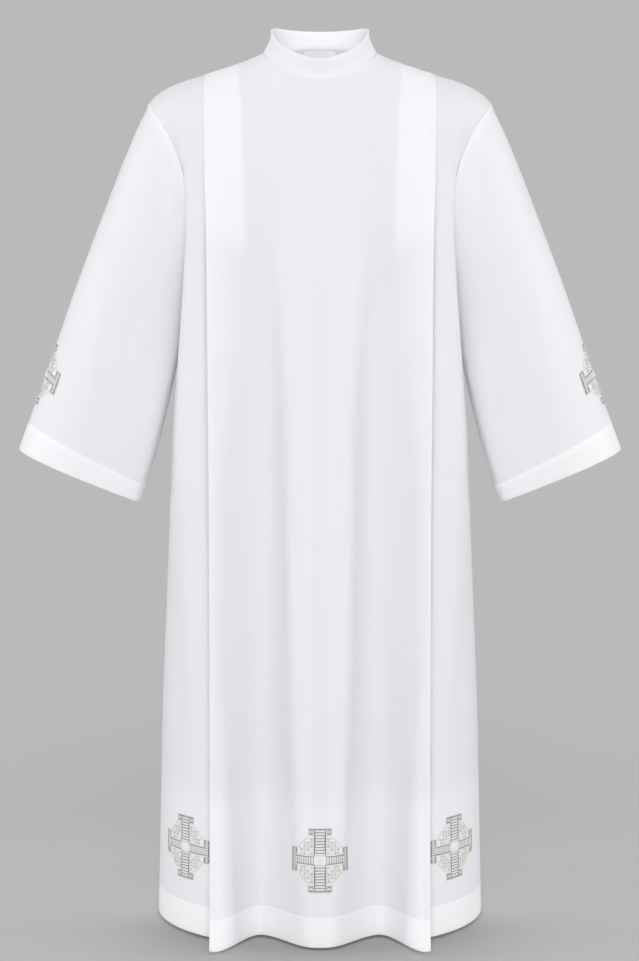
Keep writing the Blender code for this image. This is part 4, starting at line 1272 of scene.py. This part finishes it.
# %% Stitches at the cuffs, armholes and collar
cuff_line = row_path(sleeve_skins[0], sleeve_normals, cuff_row + CAUGHT)
armhole_line = row_path(sleeve_skins[0], sleeve_normals, 1.15)
for side, word in ((1, "right"), (-1, "left")):
    sew_line(f"stitches_cuff_{word}", [(cuff_line * (side, 1, 1), True)], HEM_PITCH)
    sew_line(f"stitches_armhole_{word}", [(armhole_line * (side, 1, 1), True)], ARMHOLE_PITCH)

RIM_LINE = 0.0048  # its stitches run this far below the collar's top edge
collar_skin = shifted + collar_half
top_row = float(np.interp(RIM_LINE, collar_down[:, 0], np.arange(len(collar))))
rows = ((top_row, 0.00004), (len(collar) - 2.6, 0.00008))
collar_lines = [(row_path(collar_skin, collar_normals, row, out), True) for row, out in rows]
sew_line("stitches_collar", collar_lines, 0.0028, Stitch_length=0.0021, Thread=0.00042)
print("sewn lines:", ", ".join(sewn))

# %% [markdown]
# ## Embroidered crosses
#
# Each cross is a cross potent, an old plain design: four arms, each with a bar across its end, in a round
# field. The real one is worked in satin stitch, whose rungs lie side by side over padding, with thin corded
# outlines. One cross is worked flat here, in its own small frame, and then laid on the cloth in eight places.
#
# A rung is a domed patch. A second tree puts one at each point of a small chart, as long, as wide and as
# raised as the chart says.


# %% Satin rungs
SATIN_INPUTS = (("Chart", "Geometry", None), ("Roundness", "Float", 0.9), ("Thread finish", "Material", None))


def satin_tree():
    start, (chart, roundness, finish) = new_tree("satin rungs", SATIN_INPUTS, "Rungs")
    sizes = {"Size X": 1.0, "Size Y": 1.0, "Vertices X": 7, "Vertices Y": 5}
    patch = start.node("GeometryNodeMeshGrid", {}, sizes)
    place = start.node("GeometryNodeInputPosition")
    x, y = (start.node("ShaderNodeSeparateXYZ", {}, {0: place}, output=i) for i in (0, 1))
    ends, sides = x * x * 4.0, y * y * 4.0
    dome = (1.0 - ends * ends * ends) * (1.0 - sides * roundness)
    lift = start.node("ShaderNodeCombineXYZ", {}, {2: dome})
    domed = start.node("GeometryNodeSetPosition", {}, {"Geometry": patch, "Offset": lift})

    def named(kind, name):
        return start.node("GeometryNodeInputNamedAttribute", {"data_type": kind}, {"Name": name})

    spin = start.node("ShaderNodeCombineXYZ", {}, {2: named("FLOAT", "turn")})
    size = named("FLOAT_VECTOR", "size")
    return beads_on(start, finish, {"Points": chart, "Instance": domed, "Rotation": spin, "Scale": size})


SATIN = satin_tree()
print("the satin tree has", len(SATIN.nodes), "nodes")

# %% [markdown]
# The chart is worked out from a few sizes, for one quarter, and mirrored to the other three. The threads are
# silver grey over a darker padding, white, cream, and a little sage and rose in the round field. The dark
# padding shows in the gaps between the rungs as painted shade.

# %% The cross's chart
SILVER, SHADOW, WHITE = (0.84, 0.84, 0.865), (0.295, 0.295, 0.315), (0.90, 0.90, 0.905)
CREAM, GROUND, LILAC = (0.85, 0.82, 0.73), (0.955, 0.95, 0.945), (0.80, 0.785, 0.84)
SAGE, ROSE = (0.40, 0.41, 0.36), (0.76, 0.65, 0.62)
CROSS_HALF, ROUNDEL = 0.049, 0.0415  # half the cross, and the round field's radius
UPRIGHT_HALF, BAR_HALF = 0.0089, 0.0062
POTENT_HALF, POTENT_DEEP = 0.0172, 0.0078  # the bar across each end, a potent
POTENT_CUT, POTENT_GAP = 0.0098, 0.0012  # it is parted here, into a middle and two blocks
BORDER = 0.0020  # the white cords beside the arms
SHADE_PADDING_LIFT, RUNG_LIFT = 0.00036, 0.00045
EDGE_GAP = 0.0012  # between two grounds

chart = []


def rung(a, b, length, width, height, turn, dye, lift=RUNG_LIFT):
    """One rung, and its mirror images in the other quarters."""
    for sa in sorted({1, -1} if a > 1e-6 else {1}):
        for sb in sorted({1, -1} if b > 1e-6 else {1}):
            chart.append((sa * a, sb * b, length, width, height, math.radians(turn * sa * sb), dye, lift))


def shade_padding(a, b, width, tall):
    """A dark ground in short pieces, so that it bends with the cloth. It shows between the rungs as painted shade."""
    pieces = max(1, round(width / 0.004))
    for i in range(pieces):
        across = a + width * ((i + 0.5) / pieces - 0.5)
        if a > 1e-6 or across > -1e-6:
            rung(abs(across), b, width / pieces + 0.0004, tall, 0.0002, 0, SHADOW, SHADE_PADDING_LIFT)


arm_end = CROSS_HALF - POTENT_DEEP
potent_middle = CROSS_HALF - POTENT_DEEP / 2
block_middle, block_long = (POTENT_CUT + POTENT_GAP + POTENT_HALF) / 2, POTENT_HALF - POTENT_CUT - POTENT_GAP

shade_padding(0, (CROSS_HALF + BAR_HALF + EDGE_GAP) / 2, 2 * UPRIGHT_HALF, CROSS_HALF - BAR_HALF - EDGE_GAP)
shade_padding((CROSS_HALF + UPRIGHT_HALF + EDGE_GAP) / 2, 0, CROSS_HALF - UPRIGHT_HALF - EDGE_GAP, 2 * BAR_HALF)
# Rungs: where, how long, wide and high, how far turned, and their thread.
for b in np.linspace(BAR_HALF + 0.0032, CROSS_HALF - 0.0028, 9):
    rung(0, b, 2 * UPRIGHT_HALF - 0.0018, 0.0031, 0.0007, 0, SILVER)
for a in np.linspace(UPRIGHT_HALF + 0.0032, arm_end - 0.0006, 8):
    rung(a, 0, 2 * BAR_HALF - 0.0022, 0.0029, 0.0007, 90, SILVER)
for a in np.linspace(0, 0.0078, 3):
    rung(a, 0, 2 * BAR_HALF + 0.0020, 0.0039, 0.0008, 90, WHITE)
shade_padding(potent_middle, 0, POTENT_DEEP, 2 * POTENT_CUT)
shade_padding(block_middle, potent_middle, block_long, POTENT_DEEP)
shade_padding(potent_middle, block_middle, POTENT_DEEP, block_long)
for t in np.linspace(0, POTENT_CUT - 0.0022, 3):
    rung(potent_middle, t, POTENT_DEEP - 0.0026, 0.0030, 0.0007, 0, SILVER)
for t in (block_middle - 0.0016, block_middle + 0.0016):
    rung(potent_middle, t, POTENT_DEEP - 0.0026, 0.0025, 0.0007, 0, SILVER)
    rung(t, potent_middle, POTENT_DEEP - 0.0026, 0.0025, 0.0007, 90, SILVER)
print(len(chart), "rungs in the arms")

# %% The round field's chart
CELL = 0.0056
FIELD_START = (UPRIGHT_HALF + BORDER + CELL / 2, BAR_HALF + BORDER + CELL / 2)
FILLED_ACROSS, FILLED_UP = 2, 3  # cells filled with rungs, nearest the middle; the others have a diamond


def diamond(a, b, thread, knot):
    """Four stitches round a knot."""
    for da in (1, -1):
        for db in (1, -1):
            rung(a + da * CELL / 4, b + db * CELL / 4, 0.0034, 0.0010, 0.0005, -45 * da * db, thread)
    rung(a, b, 0.0016, 0.0016, 0.0006, 45, knot)


for i in range(5):
    for j in range(6):
        a, b = FIELD_START[0] + i * CELL, FIELD_START[1] + j * CELL
        if math.hypot(a, b) > ROUNDEL - 0.0040:
            continue
        if i < FILLED_ACROSS and j < FILLED_UP:
            for t in (-0.0017, 0, 0.0017):
                rung(a + t, b, CELL - 0.0006, 0.0016, 0.0005, 90, (LILAC, WHITE, ROSE)[(i + j) % 3])
        else:
            diamond(a, b, CREAM if (i + j) % 2 else ROSE, SAGE)
print(len(chart), "rungs in one cross")

# %% [markdown]
# Satin shines along its threads. The finish draws them as fine ridges that follow each rung, from the map that
# the rung carries, and takes the thread's colour from the piece. It paints the grooves between the threads a
# little darker and their crests a little lighter, a painted shade and highlight, and varies the tone with the fibres.


# %% Embroidery thread
THREAD_WIDTH = 0.00055


def embroidery_thread():
    made, start, shader = finish_named("embroidery thread", Roughness=0.46, Sheen_Weight=0.15)
    spot = start.node("ShaderNodeUVMap", {"uv_map": "thread"})
    along = start.node("ShaderNodeSeparateXYZ", {}, {0: spot}, output=0)
    across = start.node("ShaderNodeSeparateXYZ", {}, {0: spot}, output=1)
    turn = 2 * math.pi / THREAD_WIDTH
    ridge = (across * turn).maths("SINE", across * turn)
    stretched = start.node("ShaderNodeCombineXYZ", {}, {0: along * 220.0, 1: across * 1900.0})
    fibre = start.node("ShaderNodeTexNoise", {}, {"Vector": stretched, "Scale": 1.0, "Detail": 1.0})
    relief = {"Strength": 0.5, "Distance": 0.00012, "Height": ridge * 0.5 + fibre}
    start.node("ShaderNodeBump", {}, relief).into(shader.inputs["Normal"])
    dye = start.node("ShaderNodeAttribute", {"attribute_name": "dye"})
    # Darker in the grooves and lighter on the crests of the threads: painted shade and highlight. The fibres vary the
    # tone.
    shade = (fibre * 0.6 + ridge * 0.12 + 0.2).mix((0.80, 0.80, 0.81, 1), (1.06, 1.06, 1.06, 1))
    dye.tinted(shade).into(shader.inputs["Base Color"])
    return made


EMBROIDERY = embroidery_thread()
print("thread finish:", EMBROIDERY.name)


# %% One cross, worked flat
def chart_mesh():
    """A point for each rung, which carries the rung's size, turn and dye."""
    mesh = bpy.data.meshes.new("chart")
    mesh.from_pydata([(a, b, lift) for a, b, *_, lift in chart], [], [])
    mark(mesh, "size", "FLOAT_VECTOR", [line[2:5] for line in chart])
    mark(mesh, "turn", "FLOAT", [line[5] for line in chart])
    mark(mesh, "dye", "FLOAT_COLOR", [(*line[6], 1) for line in chart])
    return mesh


def taken(made, dye=None):
    """A grown object's points, faces, thread directions and dyes, after which the object goes."""
    mesh = made.data
    place = np.zeros(len(mesh.vertices) * 3)
    mesh.vertices.foreach_get("co", place)
    faces = [tuple(p.vertices) for p in mesh.polygons]
    turn, colour = np.zeros(len(mesh.vertices)), np.zeros(len(mesh.vertices) * 4)
    if dye is None:
        mesh.attributes["turn"].data.foreach_get("value", turn)
        mesh.attributes["dye"].data.foreach_get("color", colour)
    else:
        colour[:] = np.tile((*dye, 1), len(mesh.vertices))
    bpy.data.objects.remove(made)
    return place.reshape(-1, 3), faces, turn, colour.reshape(-1, 4)


parts = [taken(grown("rungs", chart_mesh(), SATIN, Thread_finish=EMBROIDERY))]
print("rungs:", len(parts[0][1]), "faces")


# %% The cross's cords
def straight(a0, b0, a1, b1):
    return [(a0 + (a1 - a0) * t, b0 + (b1 - b0) * t, 0) for t in np.linspace(0, 1, 9)]


def four(path):
    return [(np.array(path) * (sa, sb, 1), False) for sa in (1, -1) for sb in (1, -1)]


def cords(name, paths, dye, thread, lift, flat=1.0, pitch=0.0021):
    lifted = [(np.asarray(path) + (0, 0, lift), closed) for path, closed in paths]
    sizes = {"Pitch": pitch, "Stitch_length": pitch * 1.15, "Thread": thread, "Flatness": flat}
    parts.append(taken(grown(name, paths_mesh(name, lifted), STITCH_ROW, Thread_finish=EMBROIDERY, **sizes), dye))


def potent_outline(upright, out):
    """Round one half of a potent, so far outside its edge."""
    near, far, half = arm_end - out, CROSS_HALF + out, POTENT_HALF + out
    inner = (UPRIGHT_HALF if upright else BAR_HALF) + BORDER + 0.0006
    line = straight(inner, near, half, near) + straight(half, near, half, far) + straight(half, far, 0, far)
    return line if upright else [(b, a, c) for a, b, c in line]


OUTSIDE, CORD_LIFT, LOW_LIFT = 0.0002, 0.0004, 0.0003
edge_a, edge_b = UPRIGHT_HALF + OUTSIDE, BAR_HALF + OUTSIDE
rails = four(straight(edge_a, edge_b, edge_a, CROSS_HALF)) + four(straight(edge_a, edge_b, arm_end, edge_b))
cords("rails", rails, SHADOW, 0.0008, CORD_LIFT)
middle_a, middle_b = edge_a + BORDER / 2 + 0.0003, edge_b + BORDER / 2 + 0.0003
borders = four(straight(middle_a, middle_b, middle_a, arm_end - OUTSIDE))
borders += four(straight(middle_a, middle_b, arm_end - OUTSIDE, middle_b))
cords("borders", borders, WHITE, BORDER, CORD_LIFT, flat=0.45)
start_turn = math.atan2(middle_b + BORDER, ROUNDEL) + 0.26  # the arc keeps clear of the potents
end_turn = math.atan2(ROUNDEL, middle_a + BORDER) - 0.20
arc = [(ROUNDEL * math.cos(t), ROUNDEL * math.sin(t), 0) for t in np.linspace(start_turn, end_turn, 15)]
cords("round cords", four(arc), CREAM, 0.0014, LOW_LIFT, flat=0.6)
cords("inner round cords", four(np.array(arc) * (0.955, 0.955, 1)), SAGE, 0.0006, LOW_LIFT, pitch=0.0034)
for name, out, *looks in (
    ("outlines", 0.0003, SHADOW, 0.0007, CORD_LIFT, 1.0),
    ("cream outlines", 0.0016, CREAM, 0.0013, LOW_LIFT, 0.6),
):
    cords(name, four(potent_outline(True, out)) + four(potent_outline(False, out)), *looks)
print("parts of the cross:", len(parts))


# %% The round field
def round_sheet(profile, sides):
    """The points and faces of a round sheet. Its profile is the radius and height of its middle and its rings."""
    turns = np.linspace(0, 2 * np.pi, sides, endpoint=False)
    place = [(0.0, 0.0, profile[0][1])]
    place += [(radius * math.cos(t), radius * math.sin(t), height) for radius, height in profile[1:] for t in turns]
    faces = [(0, 1 + i, 1 + (i + 1) % sides) for i in range(sides)]
    for base in range(1, 1 + (len(profile) - 2) * sides, sides):
        for i in range(sides):
            j = (i + 1) % sides
            faces.append((base + i, base + sides + i, base + sides + j, base + j))
    return np.array(place), faces


FIELD_RADIUS, FIELD_HEIGHT, FIELD_RINGS, FIELD_SIDES = ROUNDEL - 0.0006, 0.00030, 12, 48
profile = [(0, FIELD_HEIGHT)]
profile += [(FIELD_RADIUS * share, FIELD_HEIGHT) for share in np.linspace(0.08, 0.98, FIELD_RINGS)]
field, field_faces = round_sheet([*profile, (FIELD_RADIUS, 0.0)], FIELD_SIDES)
field_dye = np.tile((*GROUND, 1.0), (len(field), 1))
parts.append((field, field_faces, np.full(len(field), math.radians(45)), field_dye))
places = np.concatenate([p[0] for p in parts])
firsts = np.cumsum([0] + [len(p[0]) for p in parts])
cross_faces = [tuple(first + i for i in f) for p, first in zip(parts, firsts) for f in p[1]]
turns, dyes = np.concatenate([p[2] for p in parts]), np.concatenate([p[3] for p in parts])
thread_map = np.stack(
    [
        places[:, 0] * np.cos(turns) + places[:, 1] * np.sin(turns),
        places[:, 1] * np.cos(turns) - places[:, 0] * np.sin(turns),
    ],
    axis=-1,
)
print("one cross:", len(cross_faces), "faces,", round(float(np.ptp(places[:, 0])) * 1000), "mm wide")

# %% [markdown]
# ## Laying a piece on the cloth
#
# A piece worked flat is laid on a panel by walking: so far along the row through its centre, and so far down
# the column. It then follows every fold, and keeps its size.


# %% Walking over a panel
def sampled(grid, r, c):
    """The grid's values between its rows and columns."""
    r0 = np.clip(np.floor(r).astype(int), 0, grid.shape[0] - 2)
    c0 = np.clip(np.floor(c).astype(int), 0, grid.shape[1] - 2)
    fr, fc = (r - r0)[..., None], (c - c0)[..., None]
    top = grid[r0, c0] * (1 - fc) + grid[r0, c0 + 1] * fc
    return top * (1 - fr) + (grid[r0 + 1, c0] * (1 - fc) + grid[r0 + 1, c0 + 1] * fc) * fr


def laid_on(skin, normals, row, col, flat):
    """Points on a panel: each flat point's first number is how far across it lies, and its second how far up."""

    def walked(line):
        return np.concatenate([[0], np.cumsum(np.linalg.norm(np.diff(line, axis=0), axis=1))])

    every_row, every_col = np.arange(skin.shape[0]), np.arange(skin.shape[1])
    down = walked(sampled(skin, every_row.astype(float), np.full(len(every_row), float(col))))
    across = walked(sampled(skin, np.full(len(every_col), float(row)), every_col.astype(float)))
    down -= np.interp(row, every_row, down)
    across -= np.interp(col, every_col, across)
    r, c = np.interp(-flat[:, 1], down, every_row), np.interp(flat[:, 0], across, every_col)
    return sampled(skin, r, c) + unit(sampled(normals, r, c)) * flat[:, 2:3]


print("the front's middle, between two rows:", sampled(front_sheet, np.array([100.5]), np.array([middle + 0.0])))


# %% Laying the crosses
CROSS_LIFT = 0.0002
MOTIF_ABOVE_HEM, SIDE_MOTIF_ABOVE_HEM, MOTIF_ABOVE_CUFF = 0.138, 0.136, 0.132
MOTIF_FRONT_X, MOTIF_BACK_X = 0.215, 0.190
SLEEVE_MOTIF_FORWARD = 0.009
MOTIF_SAG = 0.0025  # the ends of the middle cross's bar lie this much lower than its row of the cloth
crosses = {}


def lay_cross(name, skin, normals, row, col, sag=0.0):
    flat = places + (0, 0, CROSS_LIFT)
    flat[:, 1] -= sag * (places[:, 0] / CROSS_HALF) ** 2
    mesh = bpy.data.meshes.new(name)
    mesh.from_pydata(laid_on(skin, normals, row, col, flat).tolist(), [], cross_faces)
    corner = np.zeros(len(mesh.loops), dtype=np.int32)
    mesh.loops.foreach_get("vertex_index", corner)
    mesh.uv_layers.new(name="thread").uv.foreach_set("vector", thread_map[corner].ravel())
    mark(mesh, "dye", "FLOAT_COLOR", dyes)
    mesh.shade_smooth()
    mesh.materials.append(EMBROIDERY)
    crosses[name] = placed(name, mesh)


def row_at_height(sheet, col, height):
    return float(np.interp(-height, -sheet[:, col, 2], np.arange(len(sheet))))


def column_at_x(sheet, columns, height, x):
    at = [np.interp(-height, -sheet[:, c, 2], sheet[:, c, 0]) for c in columns]
    return float(np.interp(x, at, columns))


for panel, skin, normals, first, side_x in (
    ("front", front_skins[0], front_normals, middle + SIDE_COLUMN, MOTIF_FRONT_X),
    ("back", back_skins[0], back_normals, back_sheet.shape[1] // 2, MOTIF_BACK_X),
):
    centre = skin.shape[1] // 2
    row = row_at_height(skin, centre, HEM + MOTIF_ABOVE_HEM)
    right = column_at_x(skin, np.arange(first, skin.shape[1]), HEM + MOTIF_ABOVE_HEM, side_x)
    lay_cross(f"embroidery_{panel}_middle", skin, normals, row, centre, sag=MOTIF_SAG)
    row = row_at_height(skin, centre, HEM + SIDE_MOTIF_ABOVE_HEM)
    lay_cross(f"embroidery_{panel}_right", skin, normals, row, right)
    lay_cross(f"embroidery_{panel}_left", skin, normals, row, 2 * centre - right)
print("laid on the body:", ", ".join(crosses))

# %% Crosses on the sleeves
ring_middle = sleeve.shape[1] // 2
turned_skin, turned_normals = (np.roll(v, ring_middle, axis=1) for v in (sleeve_skins[0], sleeve_normals))
fold_line = np.linalg.norm(np.diff(turned_skin[:, ring_middle], axis=0), axis=1)
from_cuff = np.concatenate([np.cumsum(fold_line[::-1])[::-1], [0]])
row = float(np.interp(-MOTIF_ABOVE_CUFF, -from_cuff, np.arange(len(from_cuff))))
across = (turned_skin[round(row), ring_middle + 1] - turned_skin[round(row), ring_middle - 1]) / 2
col = ring_middle - math.copysign(SLEEVE_MOTIF_FORWARD / np.linalg.norm(across), across[1])
for side, word in ((1, "right"), (-1, "left")):
    mirrored = turned_skin * (side, 1, 1), turned_normals * (side, 1, 1)
    lay_cross(f"embroidery_sleeve_{word}", *mirrored, row, col)
print(len(crosses), "crosses,", sum(len(c.data.polygons) for c in crosses.values()), "faces in all")

# %% [markdown]
# ## The neck label
#
# A short ribbon is sewn inside the back of the neck. It is left blank. Its ends are folded under, so it is
# a little thicker there.


# %% Label
RIBBON = woven("label ribbon", (0.93, 0.93, 0.94), (0.96, 0.96, 0.965), pitch=0.00030, rough=0.5, unevenness=0.2)
LABEL_HALF, LABEL_TOP, LABEL_DROP = 0.026, 0.003, 0.020
LABEL_FOLD = 0.007  # at each end, where it is half as thick again
LABEL_GRID = (21, 53)


def label_sheet(height, inset=0.0):
    across = np.linspace(-LABEL_HALF + inset, LABEL_HALF - inset, LABEL_GRID[1])
    down = np.linspace(LABEL_TOP + inset, LABEL_TOP + LABEL_DROP - inset, LABEL_GRID[0])
    a, b = np.meshgrid(across, down)
    folded = 1.0 + 0.5 * ease((np.abs(a) - LABEL_HALF + LABEL_FOLD) / 0.001)
    flat = np.stack([a, -b, height * folded], axis=-1).reshape(-1, 3)
    return laid_on(back_skins[1], -back_normals, 0, back_sheet.shape[1] // 2, flat).reshape(*LABEL_GRID, 3)


label_layers = np.full(LABEL_GRID, 1.8)
neck_label = sew("label", label_sheet(0.0009, inset=0.0002), label_sheet(0.0003), label_layers, RIBBON)

# %% [markdown]
# ## The studio
#
# A plain pale floor runs up into a round wall, far enough away that every side of the robe can be looked at
# from inside it. Soft lights in front, above and behind fill the robe. A tall narrow one on each side grazes its
# folds, so that the slopes which face it are bright and the others are in shade.

# %% Floor and wall
STUDIO_GREY = 0.491
FLOOR_HEIGHT = HEM - 0.004
FLOOR_RADIUS, WALL_RADIUS, WALL_CURVE = 9.0, 12.0, 3.0
FLOOR_BASE, FLOOR_GLOW = 0.30, 0.228  # near the robe, where the floor takes its soft shadow
NEAR_START, NEAR_WIDE = 0.6, 2.2  # how far from the robe that begins to fade, and over how much
HEM_REACH = (0.27, 0.21)  # half the hem's width and depth
# A painted shadow on the floor in front of the hem: how far it reaches, and how deep it is.
SHADE_REACH, SHADE_DEPTH = 0.070, 0.160  # the darker floor in front of the hem
STUDIO_SIDES = 96


def studio_grey():
    """Grey that takes real shadows near the robe, has a painted shadow in front of the hem, and is the same all over
    further away.
    """
    made, start, shader = finish_named("studio grey", Roughness=1.0, Specular_IOR_Level=0.0, Emission_Strength=1.0)
    near = start.node("ShaderNodeAttribute", {"attribute_name": "near"}, output=2)
    base = near.mix((0.0, 0.0, 0.0, 1), (FLOOR_BASE, FLOOR_BASE, FLOOR_BASE, 1))
    shade = start.node("ShaderNodeAttribute", {"attribute_name": "shade"}, output=2)
    level = STUDIO_GREY - near * (STUDIO_GREY - FLOOR_GLOW) - shade * SHADE_DEPTH
    glow = start.node("ShaderNodeCombineColor", {}, {0: level, 1: level, 2: level})
    base.into(shader.inputs["Base Color"])
    glow.into(shader.inputs["Emission Color"])
    return made


def studio_bowl(profile, look):
    """The studio in one round piece, from the middle of its floor up to the ceiling."""
    mesh = bpy.data.meshes.new("studio")
    spots, faces = round_sheet(profile, STUDIO_SIDES)
    mesh.from_pydata(spots.tolist(), [], faces)
    x, y, _ = spots.T
    mark(mesh, "near", "FLOAT", 1 - ease((np.hypot(x, y) - NEAR_START) / NEAR_WIDE))
    from_hem = np.hypot(x / HEM_REACH[0], y / HEM_REACH[1]) - 1
    # The painted shadow: less glow in front of the hem, fading with the distance from it.
    shade = np.exp(-np.clip(from_hem * HEM_REACH[1], 0, 3) / SHADE_REACH) * ease(-y / 0.15)
    mark(mesh, "shade", "FLOAT", shade)
    mesh.shade_smooth()
    mesh.materials.append(look)
    made = placed("studio", mesh)


FLOOR_RINGS = (0, *np.arange(0.10, 0.80, 0.02), *np.linspace(0.8, 2.8, 12), 4.0, 6.0, FLOOR_RADIUS)
profile = [(radius, FLOOR_HEIGHT) for radius in FLOOR_RINGS]
bend = np.linspace(0, math.pi / 2, 12)[1:]
lean = WALL_RADIUS - FLOOR_RADIUS
profile += [(FLOOR_RADIUS + lean * math.sin(t), FLOOR_HEIGHT + WALL_CURVE * (1 - math.cos(t))) for t in bend]
profile += [(WALL_RADIUS, 14.0), (6.0, 20.0), (0.5, 21.0)]
studio_bowl(profile, studio_grey())
print("floor at", round(FLOOR_HEIGHT, 4), "m")


# %% Lights
def soft_light(name, place, towards, size, power):
    lamp = bpy.data.lights.new(name, "AREA")
    lamp.shape, lamp.size, lamp.size_y, lamp.energy = "RECTANGLE", size[0], size[1], power
    made = placed(name, lamp)
    made.location = place
    aim = np.array(towards, float) - np.array(place, float)
    down = math.degrees(math.atan2(math.hypot(aim[0], aim[1]), -aim[2]))
    made.rotation_euler = (math.radians(down), 0, math.atan2(aim[1], aim[0]) - math.pi / 2)
    made.visible_camera = False


soft_light("high front light", (0.0, -2.6, 3.0), (0, 0, -0.2), (2.0, 1.2), 39)
soft_light("low front light", (0.0, -4.2, -0.6), (0, 0, -0.9), (1.2, 1.9), 60)
for side, word in ((-1, "left"), (1, "right")):
    soft_light(f"{word} front light", (side * 3.83, -3.21, -0.95), (0, 0, -0.95), (1.2, 2.4), 14)
    soft_light(f"{word} light", (side * 5.06, -0.55, -0.95), (0, 0, -0.95), (0.7, 2.4), 77)
soft_light("top light", (0.0, -0.6, 4.0), (0, 0, -0.6), (4.0, 4.0), 17)
soft_light("back light", (0.0, 5.5, 1.8), (0, 0, -0.6), (4.0, 3.0), 80)
soft_light("neck light", (0.0, -0.046, -0.044), (0, 0.06, 0.002), (0.08, 0.03), 0.079)

world = bpy.data.worlds.new("studio air")
bpy.context.scene.world = world
world.use_nodes = True
background = world.node_tree.nodes["Background"]
background.inputs["Color"].default_value = (1.0, 1.0, 1.0, 1)
background.inputs["Strength"].default_value = 0.5
bpy.context.scene.view_settings.view_transform = "Standard"
print("soft light from the front, the sides and above")

# %% [markdown]
# ## Riding on the frame
#
# Each piece moves with the robe's one body, and stands for its plain solid.

# %% Attaching the cloth
PANELS = (
    (front, "front", (1.09, 1.42), 1.278),
    (back, "back", (0.76, 1.44), 0.896),
    (sleeves["right"], "sleeve_right", (0.74, 0.60), 0.253),
    (sleeves["left"], "sleeve_left", (0.74, 0.60), 0.253),
)
for piece, node, flat, area in PANELS:
    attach(piece, "root")
    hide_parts(node)
    [neck_band] if node in ("front", "back") else [front, back]
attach(neck_band, "root")
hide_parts("collar")
print("cloth in one layer:", round(sum(area for *_, area in PANELS) + 0.0175, 3), "square metres")

# %% Attaching the trimmings
for name, piece in crosses.items():
    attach(piece, "root")
    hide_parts(name.replace("embroidery", "cross"))
for piece in sewn.values():
    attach(piece, "root")
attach(neck_label, "root")
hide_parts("neck_label")
print("every piece rides on the robe")
